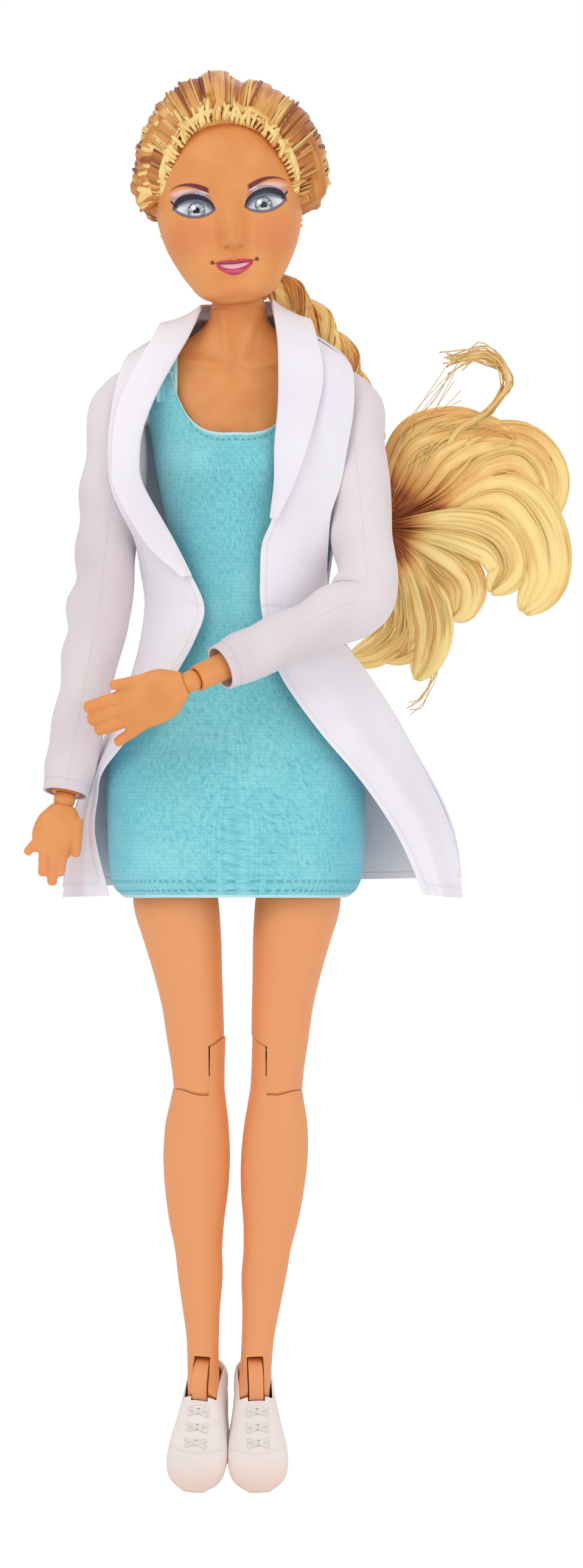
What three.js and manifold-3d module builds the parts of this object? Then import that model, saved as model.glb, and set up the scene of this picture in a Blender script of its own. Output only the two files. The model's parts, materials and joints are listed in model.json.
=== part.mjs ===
// A jointed fashion doll in a knitted dress and an open coat, in millimetres.
// +Z is up, the doll faces -Y, its left side is +X, and the origin is at the waist.
import * as THREE from "three";
import { mergeVertices } from "three/addons/utils/BufferGeometryUtils.js";
import Module from "manifold-3d";

const wasm = await Module();
wasm.setup();

// Clearances and wall thicknesses
const GAP = 0.3;
const SHELL = 1.8;
const CLOTH = 0.8;
const FACETS = 10;

// Joint centres
const NECK = [0.5, 1, 63.5];
const HEAD_ROLL = 5;
const SHOULDER = { r: [-24.2, 0, 45.3], l: [24.2, 0, 45.3] };
const ELBOW = { r: [-28.8, 0, 1.5], l: [28.2, -10.5, 1.5] };
const WRIST = { r: [-36.3, -9.5, -40.8], l: [-9.1, -28.2, -16] };
const FINGERTIPS = { r: [-39.6, -12.5, -59.6], l: [-32, -25.6, -24.6] };
const HIP = { r: [-12.9, 0, -36], l: [12.9, 0, -36] };
const KNEE = { r: [-8, -1, -98.8], l: [8.8, -1, -98.8] };
const ANKLE = { r: [-7, 0.5, -164.8], l: [4, 0.5, -164.8] };
const TOE_OUT = { r: 10, l: 4 };
const FOOT_TILT = { r: 4, l: 2 };
const FOOT_POINT = 60;
const SIDES = { r: -1, l: 1 };

// Ball knuckles: ball radius, peg radius and length, slot width, slot ceiling, tongue disc, bar half-width, pin
const SHOULDER_KNUCKLE = { ball: 3.6, peg: 1.8, length: 9.6, slot: 2.8, ceiling: 2, disc: 1.8, bar: 1.3, pin: 0.6 };
const ELBOW_KNUCKLE = { ball: 3.2, peg: 1.2, length: 6, slot: 2.2, ceiling: 1.7, disc: 1.5, bar: 1, pin: 0.5 };
const WRIST_KNUCKLE = { ball: 2.3, peg: 1, length: 5, slot: 1.7, ceiling: 1.2, disc: 1.1, bar: 0.8, pin: 0.4 };

// Hip, knee and ankle
const HIP_BALL = 9.6;
const HIP_DISC = 4.4;
const HIP_TONGUE = 3;
const HIP_PEG = 2;
const HIP_FLANGE = 3.2;
const HIP_PIN = 1.2;
const HIP_BACK = 15;
const KNEE_CAP = 5.5;
const KNEE_EAR = 7.6;
const KNEE_EAR_SIDE = 2.2;
const KNEE_PIN = 1.2;
const KNEE_CUP = 3.2;
const KNEE_FOLD = 7;
const ANKLE_CHEEK = 3.9;
const ANKLE_TOP = 5;
const ANKLE_TONGUE = 3;
const ANKLE_PIN = 0.9;

// Neck
const NECK_DOME = 6;
const KNOB_DISC = 3;
const KNOB_STEM = 1.3;
const KNOB_FLANGE = 3.2;
const KNOB_SLOT = 2.2;

// Torso rings: height, half-width, front depth, back depth
const TORSO = [
  [-47, 3, 4, 5],
  [-43, 12, 7.5, 9],
  [-36, 21.5, 9.3, 11],
  [-28, 21, 9.4, 11.4],
  [-20, 18.2, 9.2, 10.8],
  [-10, 13.8, 8.6, 9],
  [0, 11, 8, 7.5],
  [10, 11.5, 8.4, 7.5],
  [20, 13.4, 9.3, 8],
  [30, 15.2, 10.4, 8.2],
  [38, 16.2, 9.8, 8],
  [46, 18.6, 7.6, 7.2],
  [51, 18.4, 6.4, 6.6],
  [55, 14.5, 5.8, 6],
  [58, 10, 5.6, 5.8],
  [61, 6.8, 5.6, 5.8],
  [64, 6, 5.8, 6],
];
const BUST = { side: 7, height: 30.5, width: 4.6, spread: 6, depth: 3.4 };

// Head rings about the neck joint: height, half-width, front, back
const HEAD = [
  [2.4, 3.5, 11.8, -3],
  [4.2, 7.4, 13.2, 1],
  [7, 9.7, 13.9, 5],
  [11, 12.1, 14.3, 8.5],
  [16, 14.3, 14.4, 12],
  [22, 15.6, 14.6, 14.5],
  [28, 15.9, 15, 15.5],
  [34, 15.3, 14.7, 15],
  [40, 12.9, 12.4, 13],
  [45, 8, 7.5, 8.5],
  [47.5, 2, 2, 2],
];
const HAIR = [
  [3, 5.4, -4, 10],
  [7, 8.6, -3, 14],
  [12, 10.8, -2, 16.6],
  [17, 13.4, 0, 18],
  [20, 17.6, 4.5, 18.6],
  [23, 20.8, 9, 19],
  [28, 21.3, 11.5, 19.4],
  [34, 20.9, 13.8, 18.8],
  [40, 18.6, 15, 16.8],
  [45, 14.6, 14, 13.8],
  [49, 9.4, 10, 9.4],
  [51.4, 3, 3.4, 3.4],
];
const FACE_OPENING = { centre: 20.5, halfWidth: 15.4, halfHeight: 19.5, back: -4.5 };

// Limb rings: distance down the limb, outward offset, half-width, front, back
const UPPER_ARM = [
  [3.9, 0, 2.7, 2.7, 2.7],
  [6.5, 0, 4.2, 4.2, 4.2],
  [12, 0, 4.5, 4.5, 4.6],
  [24, 0, 4.1, 4.2, 4.3],
  [36, 0, 4, 4.1, 4.1],
  [39.6, 0, 3.7, 3.7, 3.7],
  [42, 0, 2.1, 2.1, 2.1],
];
const FOREARM = [
  [3, 0, 2.1, 2.1, 2.1],
  [5.6, 0, 3.8, 3.8, 3.8],
  [12, 0, 4.2, 4.1, 4.1],
  [24, 0, 3.7, 3.6, 3.6],
  [35, 0, 3.2, 2.9, 2.9],
  [41, 0, 3.1, 2.8, 2.8],
  [42.6, 0, 2.9, 2.7, 2.7],
];
const THIGH = [
  [0, 0, 7, 8, 8],
  [6, 0.2, 9.2, 9.3, 9.4],
  [14, 0.9, 9.5, 9.4, 9.8],
  [24, 2, 9.1, 9.2, 9.6],
  [29, 1.9, 9.05, 8.9, 9.2],
  [35.5, 1.2, 8.2, 8.3, 8.5],
  [42, 0.65, 7.3, 7.6, 7.6],
  [49, 0.2, 6.55, 6.8, 6.8],
  [56, 0.1, 6.1, 6.3, 6.1],
  [62, 0, 5.7, 5.9, 5.7],
  [69, 0, 5.5, 5.7, 5.7],
];
const LOWER_LEG = [
  [-8.5, 0, 5.9, 6, 5.8],
  [3, 0, 5.5, 5.9, 5.7],
  [6.5, 0.2, 6, 5.9, 6.2],
  [11, 0.5, 6.75, 6, 7.2],
  [18, 0.7, 7.15, 6, 8],
  [25, 0.8, 6.8, 5.7, 7.6],
  [32, 0.9, 5.9, 5.2, 6.5],
  [38, 0.6, 5.1, 4.8, 5.4],
  [44, 0.3, 4.8, 4.4, 4.7],
  [51, 0.2, 4, 4, 4.2],
  [57, 0, 3.5, 3.8, 3.9],
  [62, 0, 3.4, 3.8, 3.8],
  [70, 0, 3.4, 3.9, 3.9],
];

// Foot and shoe along the sole: distance ahead of the ankle, half-width, top, sole
const SHOE = [
  [-7, 3, -4.4, -9.6],
  [-5.2, 4.4, -1.9, -10],
  [-2, 4.9, -0.4, -10],
  [3, 4.9, 0.2, -10],
  [8, 5.4, -1.8, -10],
  [13, 6.4, -4, -10],
  [17.5, 6.3, -5.6, -10],
  [20, 5.1, -6.8, -9.9],
  [22, 2.4, -8.3, -9.4],
];
const SHOE_WALL = 0.8;
const COLLAR_HALF = 3.8;
const COLLAR_CLEAR = 4.4;
const SOLE_WALL = 1.2;
const SOLE_FLAT = 1.3;

// Dress rings: height, half-width, front, back
const DRESS = [
  [-61.4, 23.6, 12.8, 11.8],
  [-59.6, 25.6, 13.2, 12.3],
  [-56, 26.8, 13.4, 12.6],
  [-48, 27.2, 13.2, 12.6],
  [-36, 27.2, 12.4, 12.6],
  [-28, 25.4, 11.8, 12.6],
  [-20, 21.2, 11, 12],
  [-10, 15.8, 10, 10.6],
  [0, 12.4, 9.2, 8.9],
  [10, 12.8, 9.6, 8.8],
  [20, 14.9, 10.9, 9.6],
  [30, 17, 12.6, 9.8],
  [38, 18.3, 11.9, 10.7],
  [46, 20.9, 10, 10.7],
  [53, 20, 8.6, 8.8],
];
// Top edge of the dress: angle from the side seam, height; front and back
const NECKLINE_FRONT = [
  [0, 37],
  [22, 42],
  [34, 48.5],
  [42, 48.5],
  [48, 43],
  [57, 41],
  [70, 38.8],
  [90, 36.9],
];
const NECKLINE_BACK = [
  [0, 37],
  [22, 43],
  [34, 49],
  [44, 49],
  [58, 46],
  [90, 44.5],
];
const STRAP = { side: 14.6, width: 4.4 };

// Coat rows from the hem up: opening edge x y z, then outer edge x y z
const COAT_FRONT_R = [
  [-26.9, -5.4, -61.2, -36.9, 0, -61.6],
  [-29.9, -5.6, -48.4, -35.2, 0, -48],
  [-29.3, -6.8, -40.3, -33, 0, -40],
  [-28.3, -8.6, -35.1, -31.2, 0, -35],
  [-23.6, -13, -29, -28.8, 0, -29],
  [-16, -13.6, -20, -24, 0, -20],
  [-12.1, -13.1, -13.5, -21.6, 0, -13],
  [-8.6, -12.4, -7, -20, 0, -6],
  [-6.6, -11.6, 0, -19.3, 0, 1],
  [-10, -11.5, 8, -20.4, -1.5, 9],
  [-13, -11.9, 14, -21.6, -5, 15],
  [-16.4, -12.2, 20, -24.4, -7.9, 20.5],
  [-19.6, -11.6, 26, -26.5, -8.3, 26],
  [-20.3, -10.9, 32, -27, -8.3, 32],
  [-19.5, -10.5, 38, -26.8, -8.1, 38],
  [-16.9, -10, 45, -25.9, -7.3, 44.5],
  [-13.4, -9.1, 51.5, -24.8, -5.2, 49.3],
  [-10.4, -7.7, 57, -23.9, -2.6, 52.3],
  [-8.4, -4.4, 61.4, -22.8, 0.2, 53.9],
];
const COAT_FRONT_L = [
  [39.8, -9.4, -60.7, 48.2, 0, -61.8],
  [35.2, -10.4, -50.2, 46.8, 0, -51],
  [30.8, -11.8, -42.8, 44.2, 0, -43],
  [25.4, -13.2, -35.4, 40.4, 0, -35.4],
  [18.9, -13.9, -27.8, 36.4, 0, -27.8],
  [12.9, -13.6, -19.9, 32, 0, -19.9],
  [9.1, -12.9, -13.7, 27.4, 0, -13],
  [6.6, -12.1, -6, 21.8, 0, -6],
  [5.3, -11.5, 0.5, 19.8, 0, 1],
  [5.2, -11.7, 7, 19.3, -3, 8],
  [5.6, -12.2, 13.3, 19.6, -8, 14],
  [7.8, -14, 19, 20.2, -10.8, 20],
  [8.5, -16.4, 26, 22.1, -10.8, 26],
  [8.6, -16.6, 34, 23.6, -10.1, 34],
  [9.3, -13.9, 42, 24.8, -10, 41],
  [9.4, -11.2, 49, 25.1, -8.8, 46.5],
  [9.4, -9.1, 56, 24.6, -5.4, 51],
  [8.4, -4.4, 62.3, 23, 0.2, 53.6],
];
// Coat back rows from the hem up: right edge x y z, left edge x y z, depth
const COAT_BACK = [
  [-36.9, 0.9, -59.5, 48, 0.9, -57.5, 15],
  [-35.4, 0.9, -48, 46.8, 0.9, -49, 15.2],
  [-33.4, 0.9, -40, 44, 0.9, -41, 15.3],
  [-29.2, 0.9, -30, 37.8, 0.9, -30, 15.2],
  [-24.4, 0.9, -20, 32.1, 0.9, -20, 14.5],
  [-21, 0.9, -10, 24.9, 0.9, -10, 12.8],
  [-19.3, 0.9, 1, 19.8, 0.9, 1, 11.2],
  [-20.2, 4, 10, 20.2, 3.6, 10, 11],
  [-22.4, 7.9, 20, 22, 5, 20, 11.6],
  [-23.6, 8.2, 30, 22.6, 6.6, 30, 12.2],
  [-23.6, 8, 40, 23.4, 7.8, 40, 12.8],
  [-23.6, 7.8, 46.6, 23.6, 7.8, 46.4, 12.5],
  [-23, 5, 52.4, 23.2, 5, 52, 10.8],
  [-15.6, 3.4, 58.4, 15.8, 3.4, 58.8, 9.8],
  [-8.6, 2.4, 62, 8.6, 2.4, 63, 9],
];
// Shawl collar along the neck: inner edge x y z, outer edge x y z
const COLLAR = [
  [-9.4, -13.3, 6.6, -11.4, -12.9, 6.2],
  [-13.1, -14, 14, -18.9, -11.4, 13.4],
  [-19.7, -13.6, 26, -25.6, -11, 25],
  [-20.4, -12.6, 32, -26.2, -10.6, 31.4],
  [-19.5, -12.2, 38, -25.9, -10.2, 37.6],
  [-16.8, -11.8, 45, -24.6, -9.6, 43.8],
  [-13.2, -11, 51.8, -21.8, -8.5, 50],
  [-9.9, -9.4, 57.8, -18.2, -6.8, 56.4],
  [-7.6, -3.6, 63.6, -15.8, -1.6, 60.8],
  [-6.9, 5.2, 65.2, -13.4, 9.8, 60],
  [0.4, 10, 65.8, 0.4, 13.4, 57],
  [7.2, 5.2, 66, 13.8, 9.8, 60.4],
  [7.7, -3.6, 64.8, 15.8, -1.6, 61.6],
  [8.9, -10.8, 57, 17.6, -8.6, 55.6],
  [9.1, -13, 49.6, 18.6, -11.1, 48.8],
  [9, -15.6, 42.4, 17.4, -13.8, 41.8],
  [8.3, -18.2, 34, 15.2, -17.1, 33.6],
  [8.2, -18, 26, 12.4, -17.3, 25.6],
  [7.4, -15.6, 18.6, 8.8, -15.6, 18.4],
];

// Sleeve: armhole pivots beside the chest, arc radius, tube radius along the arm
const ARMHOLE = { r: [-19, 0, 38.6], l: [19, 0, 38.6] };
const SLEEVE_ARC = 6.9;
const SLEEVE_RADIUS = { cap: 6.2, arm: 6.4, elbow: 6.3, forearm: 5.8, cuff: 4.6 };
const CUFF_AT = { r: 38, l: 37.5 };

// Hair tail: gather point, band, twist path and radius, then the loose locks
const GATHER = [31, 12.8, 20.4];
const TWIST = [
  [5.6, 10.6, 71.4],
  [9.4, 10.4, 69.2],
  [14.6, 10.2, 65.2],
  [19.4, 10.8, 59.6],
  [24, 12.6, 53],
  [27.6, 13.6, 43],
  [30.2, 13.4, 33],
  [31, 12.8, 25.2],
];
const TWIST_RADIUS = 2.7;
const TIE_RING = { outer: 2.8, inner: 2.1, height: 2.6 };
// Each lock: width, then its path x y z from the gather
const LOCKS = [
  { width: 10, path: [[31, 12.8, 18], [38.6, 12, 28], [43, 12.2, 37], [51, 12.4, 39.6], [58, 12.8, 38]] },
  { width: 12, path: [[31, 12.8, 18], [44.5, 12, 25], [53, 12.4, 34], [61, 12.8, 35.6], [66.6, 13, 30], [67.4, 13.2, 19]] },
  { width: 12, path: [[31, 12.8, 18], [45, 12.4, 21], [57, 12, 25], [64.6, 12.4, 17.6], [66.6, 12.8, 7], [62, 13, -0.6]] },
  { width: 11, path: [[31, 12.8, 18], [45, 11.6, 17], [54, 11.6, 14.4], [57.6, 12.4, 9], [53, 13, 3.6]] },
  { width: 10, path: [[31, 12.8, 18], [42, 12.8, 12], [48.4, 13, 6.4], [48.6, 13.2, 0.8], [46.2, 13.4, -1.6]] },
  { width: 9, path: [[31, 12.8, 18], [37.6, 12.6, 9], [41.4, 12.8, -2], [41, 13, -9], [38.8, 13.2, -15]] },
  { width: 8, path: [[31, 12.8, 18], [34, 12.6, 8], [34.6, 12.8, -3], [30.6, 13, -8.4], [24.4, 13.2, -10.6]] },
  { width: 1.8, path: [[44, 12.2, 33], [48, 10.8, 39], [54.4, 9.6, 43], [58.4, 9.4, 49.4], [54, 9.4, 54.6], [46.2, 9.6, 53.6]] },
];
const LOCK_DEPTH = 4.4;

const material = (color, roughness) => new THREE.MeshStandardMaterial({ color, roughness, metalness: 0 });
const SKIN = material(0xeda977, 0.45);
const FACE = material(0xeeaa7a, 0.5);
const HAIR_FIBRE = material(0xe0a85a, 0.55);
const KNIT = material(0x62bfd8, 0.85);
const COAT = material(0xf0ebf2, 0.8);
const SHOE_PLASTIC = material(0xf2e4dc, 0.45);
const TIE = material(0xb5652a, 0.6);

const doll = new THREE.Group();
doll.name = "fashion_doll";

const vec = (p) => new THREE.Vector3(...p);
const rad = (degrees) => (degrees * Math.PI) / 180;
const mix = (a, b, t) => a + (b - a) * t;

function closedSolid(position, index) {
  let volume = 0;
  const at = (i) => new THREE.Vector3(position[3 * i], position[3 * i + 1], position[3 * i + 2]);
  for (let i = 0; i < index.length; i += 3) {
    volume += at(index[i]).dot(at(index[i + 1]).cross(at(index[i + 2])));
  }
  if (volume < 0) index.reverse();
  const vertProperties = new Float32Array(position);
  return new wasm.Manifold(new wasm.Mesh({ numProp: 3, vertProperties, triVerts: new Uint32Array(index) }));
}

let placing = null;

// Solids made inside make() are placed by the matrix before they are joined or cut
function placed(matrix, make) {
  placing = matrix;
  const shape = make();
  placing = null;
  return shape;
}

function solid(geometry) {
  geometry.deleteAttribute("normal");
  geometry.deleteAttribute("uv");
  if (placing) geometry.applyMatrix4(placing);
  const merged = mergeVertices(geometry);
  return closedSolid(Array.from(merged.attributes.position.array), Array.from(merged.index.array));
}

const ball = (radius, x = 0, y = 0, z = 0, sides = FACETS) =>
  solid(new THREE.SphereGeometry(radius, sides, sides * 0.625).rotateX(Math.PI / 2).translate(x, y, z));

const block = (x0, x1, y0, y1, z0, z1) => {
  const box = new THREE.BoxGeometry(x1 - x0, y1 - y0, z1 - z0);
  return solid(box.translate((x0 + x1) / 2, (y0 + y1) / 2, (z0 + z1) / 2));
};

function rod(radius, from, to, axis, centre = [0, 0, 0], sides = FACETS) {
  const geometry = new THREE.CylinderGeometry(radius, radius, Math.abs(to - from), sides);
  if (axis === "x") geometry.rotateZ(Math.PI / 2);
  if (axis === "z") geometry.rotateX(Math.PI / 2);
  const middle = { x: 0, y: 0, z: 0, [axis]: (from + to) / 2 };
  return solid(geometry.translate(centre[0] + middle.x, centre[1] + middle.y, centre[2] + middle.z));
}

// Closed skin over rings with the same number of points, with a fan at each end
function loft(rings) {
  const count = rings[0].length;
  const position = rings.flat().flatMap((p) => [p.x, p.y, p.z]);
  const index = [];
  for (let k = 0; k < rings.length - 1; k++) {
    for (let i = 0; i < count; i++) {
      const [a, b] = [k * count + i, k * count + ((i + 1) % count)];
      index.push(a, b, b + count, a, b + count, a + count);
    }
  }
  for (const [k, ring] of [[0, rings[0]], [rings.length - 1, rings.at(-1)]]) {
    const centre = ring.reduce((sum, p) => sum.add(p), new THREE.Vector3()).divideScalar(count);
    const middle = position.length / 3;
    position.push(centre.x, centre.y, centre.z);
    for (let i = 0; i < count; i++) {
      const [a, b] = [k * count + i, k * count + ((i + 1) % count)];
      index.push(...(k === 0 ? [middle, b, a] : [middle, a, b]));
    }
  }
  return closedSolid(position, index);
}

// Smooth values at a key, through the rows of a table whose first column is the key
function along(table, key) {
  const last = table.length - 1;
  let i = 0;
  while (i < last - 1 && key > table[i + 1][0]) i++;
  const [a, b] = [table[i], table[i + 1]];
  const span = b[0] - a[0];
  const t = Math.min(Math.max((key - a[0]) / span, 0), 1);
  const slope = (k, c) => {
    const [lower, upper] = [table[Math.max(k - 1, 0)], table[Math.min(k + 1, last)]];
    return (upper[c] - lower[c]) / (upper[0] - lower[0]);
  };
  return a.slice(1).map((_, n) => {
    const c = n + 1;
    const [h1, h2] = [t * t * (3 - 2 * t), t * (1 - t) * (1 - t)];
    const h3 = -t * t * (1 - t);
    return a[c] * (1 - h1) + b[c] * h1 + span * (slope(i, c) * h2 + slope(i + 1, c) * h3);
  });
}

const numbered = (rows) => rows.map((row, i) => [i / (rows.length - 1), ...row]);

// Horizontal rounded ring
function ring(x, y, z, half, front, back, power = 2, count = 24) {
  const points = [];
  for (let i = 0; i < count; i++) {
    const angle = (2 * Math.PI * i) / count;
    const [c, s] = [Math.cos(angle), Math.sin(angle)];
    const across = Math.sign(c) * Math.abs(c) ** (2 / power) * half;
    const depth = Math.sign(s) * Math.abs(s) ** (2 / power) * (s < 0 ? front : back);
    points.push(new THREE.Vector3(x + across, y + depth, z));
  }
  return points;
}

// Limb hanging down -Z from its joint; side is 1 or -1 for the outward direction
function limb(table, side, count = FACETS, slope = [0, 0]) {
  return loft(
    table.map(([down, out, half, front, back]) =>
      ring(side * out + slope[0] * down, slope[1] * down, -down, half, front, back, 2.1, count),
    ),
  );
}

// Thick sheet over point(u, v); closed sheets join u = 1 to u = 0
function sheet(point, columns, rows, thickness, closed = false) {
  const step = 1e-3;
  const wrap = (u) => (closed ? (u + 1) % 1 : Math.min(Math.max(u, 0), 1));
  const clamp = (v) => Math.min(Math.max(v, 0), 1);
  const across = closed ? columns : columns + 1;
  const position = [];
  for (const sign of [1, -1]) {
    for (let j = 0; j <= rows; j++) {
      for (let i = 0; i < across; i++) {
        const [u, v] = [i / columns, j / rows];
        const du = point(wrap(u + step), v).sub(point(wrap(u - step), v));
        const dv = point(u, clamp(v + step)).sub(point(u, clamp(v - step)));
        const p = point(u, v).addScaledVector(du.cross(dv).normalize(), (sign * thickness) / 2);
        position.push(p.x, p.y, p.z);
      }
    }
  }
  const layer = across * (rows + 1);
  const index = [];
  const quad = (a, b, c, d) => index.push(a, b, c, a, c, d);
  for (let j = 0; j < rows; j++) {
    for (let i = 0; i < columns; i++) {
      const next = (i + 1) % across;
      const [a, b] = [j * across + i, j * across + next];
      quad(a, b, b + across, a + across);
      quad(layer + a, layer + a + across, layer + b + across, layer + b);
    }
  }
  for (let i = 0; i < columns; i++) {
    const next = (i + 1) % across;
    const top = rows * across;
    quad(i, layer + i, layer + next, next);
    quad(top + i, top + next, layer + top + next, layer + top + i);
  }
  if (!closed) {
    for (let j = 0; j < rows; j++) {
      const [a, b] = [j * across, j * across + columns];
      quad(a, a + across, layer + a + across, layer + a);
      quad(b, layer + b, layer + b + across, b + across);
    }
  }
  return closedSolid(position, index);
}

// Tube of round or oval rings square to its path; each station: point, tangent, width, depth
function tube(stations, closedEnds, thickness, count = FACETS) {
  const rings = (grow) =>
    stations.map(({ at, towards, wide, deep, side }) => {
      const forward = towards.clone().normalize();
      const across = side.clone().addScaledVector(forward, -side.dot(forward)).normalize();
      const other = forward.clone().cross(across);
      return Array.from({ length: count }, (_, i) => {
        const angle = (2 * Math.PI * i) / count;
        return at
          .clone()
          .addScaledVector(across, (wide + grow) * Math.cos(angle))
          .addScaledVector(other, (deep + grow) * Math.sin(angle));
      });
    });
  if (closedEnds) return loft(rings(0));
  const [outer, inner] = [rings(thickness / 2), rings(-thickness / 2)];
  const position = [...outer, ...inner].flat().flatMap((p) => [p.x, p.y, p.z]);
  const index = [];
  const layer = outer.length * count;
  const quad = (a, b, c, d) => index.push(a, b, c, a, c, d);
  for (let i = 0; i < count; i++) {
    const next = (i + 1) % count;
    for (let k = 0; k < outer.length - 1; k++) {
      const [a, b] = [k * count + i, k * count + next];
      quad(a, b, b + count, a + count);
      quad(layer + a, layer + a + count, layer + b + count, layer + b);
    }
    const top = (outer.length - 1) * count;
    quad(i, layer + i, layer + next, next);
    quad(top + i, top + next, layer + top + next, layer + top + i);
  }
  return closedSolid(position, index);
}

// Group at a joint: its +Z points up the limb, its +X lies along side
function jointFrame(name, origin, up, side) {
  const z = up.clone().normalize();
  const x = side.clone().addScaledVector(z, -side.dot(z)).normalize();
  const group = new THREE.Group();
  group.name = name;
  group.position.copy(vec(origin));
  group.quaternion.setFromRotationMatrix(new THREE.Matrix4().makeBasis(x, z.clone().cross(x), z));
  doll.add(group);
  return group;
}

function add(parent, name, shape, look) {
  const { vertProperties, triVerts } = shape.getMesh();
  const geometry = new THREE.BufferGeometry();
  geometry.setAttribute("position", new THREE.BufferAttribute(new Float32Array(vertProperties), 3));
  geometry.setIndex(new THREE.BufferAttribute(new Uint32Array(triVerts), 1));
  geometry.computeVertexNormals();
  const mesh = new THREE.Mesh(geometry, look);
  mesh.name = name;
  parent.add(mesh);
}

// Slotted ball on a peg, with a pin moulded across the slot; the peg points up +Z and the pin lies along X
function knuckle({ ball: radius, peg, length, slot, ceiling, pin }) {
  const reach = radius + 1;
  return ball(radius, 0, 0, 0, 8)
    .subtract(block(-slot / 2, slot / 2, -reach, reach, -reach, ceiling))
    .add(rod(peg, radius - 1.2, radius + length, "z"))
    .add(rod(pin, -slot / 2 - 0.6, slot / 2 + 0.6, "x", [0, 0, 0], 10));
}

// Tongue that fits a knuckle's slot, reaching down -Z to its own limb
function tongue({ ball: radius, slot, disc, bar, pin }) {
  const half = slot / 2 - GAP;
  return rod(disc, -half, half, "x", [0, 0, 0], 12)
    .add(block(-half, half, -bar, bar, -radius - 2, 0))
    .subtract(rod(pin + GAP, -slot, slot, "x", [0, 0, 0], 10));
}

// Twisted tail of hair, as seen from a group, its coils widened by grow
function twistSolid(group, grow) {
  group.updateMatrixWorld();
  const curve = new THREE.CatmullRomCurve3(TWIST.map((p) => group.worldToLocal(vec(p))));
  const stations = Array.from({ length: 13 }, (_, i) => {
    const t = i / 12;
    const swell = 0.16 * Math.cos(t * 34);
    return {
      at: curve.getPoint(t),
      towards: curve.getTangent(t),
      wide: TWIST_RADIUS * (1 + swell) + grow,
      deep: TWIST_RADIUS * (0.92 - swell) + grow,
      side: new THREE.Vector3(0.3, 1, 0.2),
    };
  });
  return tube(stations, true, 0, 10);
}

function torsoRing(z, grow, count) {
  const [half, front, back] = along(TORSO, z);
  const neck = Math.min(Math.max((z - 52) / 10, 0), 1);
  const points = ring(NECK[0] * neck, NECK[1] * neck, z, half + grow, front + grow, back + grow, 2.3, count);
  for (const p of points) {
    if (p.y < 0) {
      const side = (Math.abs(p.x) - BUST.side) / BUST.width;
      const rise = (z - BUST.height) / BUST.spread;
      p.y -= BUST.depth * Math.exp(-side * side - rise * rise);
    }
  }
  return points;
}

function torsoLoft(heights, grow, count) {
  return loft(heights.map((z) => torsoRing(z, grow, count)));
}

// Torso: two shells that meet in the side plane
{
  const outerHeights = [-47, -43, -36, -28, -18, -6, 6, 18, 25.5, 30.5, 36, 42, 48, 53, 57, 60.5, NECK[2]];
  const innerHeights = [-41, -32, -18, 0, 18, 34, 48];
  const [nx, ny, nz] = NECK;
  let body = torsoLoft(outerHeights, 0, 16)
    .add(ball(NECK_DOME, nx, ny, nz))
    .subtract(torsoLoft(innerHeights, -SHELL, 10));
  for (const key of ["r", "l"]) {
    const side = SIDES[key];
    const [sx, sy, sz] = SHOULDER[key];
    const [hx, hy, hz] = HIP[key];
    const { ball: radius, peg } = SHOULDER_KNUCKLE;
    const ends = side > 0 ? [12.9, 20.6] : [-20.6, -12.9];
    body = body.add(rod(4.6, ...ends, "x", [0, sy, sz])).subtract(ball(radius + GAP, sx, sy, sz));
    body = body.subtract(block(...(side > 0 ? [20.6, 30] : [-30, -20.6]), -9, 9, sz - 9, sz + 9));
    body = body.subtract(rod(peg + GAP, side * 8, side * 26, "x", [0, sy, sz], 12));
    // Hip socket, cleared below and in front of the hip so that the thigh can swing forward
    const clear = HIP_BALL + GAP;
    body = body.add(ball(clear + SHELL, hx, hy, hz, 10).intersect(torsoLoft(outerHeights, 0, 16)));
    body = body
      .subtract(ball(clear + 0.3, hx, hy, hz, 12))
      .subtract(rod(clear + 0.2, 0, -30, "z", [hx, hy, hz], 10))
      .subtract(rod(clear + 0.2, 0, -30, "y", [hx, hy, hz], 10))
      .subtract(block(hx - clear, hx + clear, hy - 30, hy, hz - 30, hz));
    const back = new THREE.Matrix4().makeTranslation(hx, hy, hz);
    back.multiply(new THREE.Matrix4().makeRotationX(rad(HIP_BACK)));
    body = body.subtract(placed(back, () => rod(clear + 0.2, 0, -30, "z", [0, 0, 0], 10)));
    body = body.subtract(rod(HIP_PEG + GAP, side * 1, side * 14, "x", [0, hy, hz], 12));
    body = body.subtract(rod(HIP_FLANGE + GAP, side * 0.4, side * 1.8, "x", [0, hy, hz], 14));
  }
  // Slot for the neck knob
  body = body
    .subtract(rod(KNOB_DISC + GAP, nx - KNOB_SLOT, nx + KNOB_SLOT, "x", [0, ny, nz]))
    .subtract(block(nx - KNOB_SLOT, nx + KNOB_SLOT, ny - KNOB_DISC - GAP, ny + KNOB_DISC + GAP, nz, nz + 8))
    .add(rod(0.7, nx - KNOB_SLOT - 0.4, nx + KNOB_SLOT + 0.4, "x", [0, ny, nz], 8));
  const frontHalf = block(-40, 40, -40, 0, -60, 80);
  const backHalf = block(-40, 40, 0, 40, -60, 80);
  add(doll, "torso_front", body.intersect(frontHalf), SKIN);
  add(doll, "torso_back", body.intersect(backHalf), SKIN);
}

// Neck knob, head and hair share a frame that leans with the head
const lean = new THREE.Vector3(0, 0, 1).applyAxisAngle(new THREE.Vector3(0, 1, 0), rad(-HEAD_ROLL));
const headFrame = jointFrame("neck", NECK, lean, new THREE.Vector3(1, 0, 0));

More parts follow.
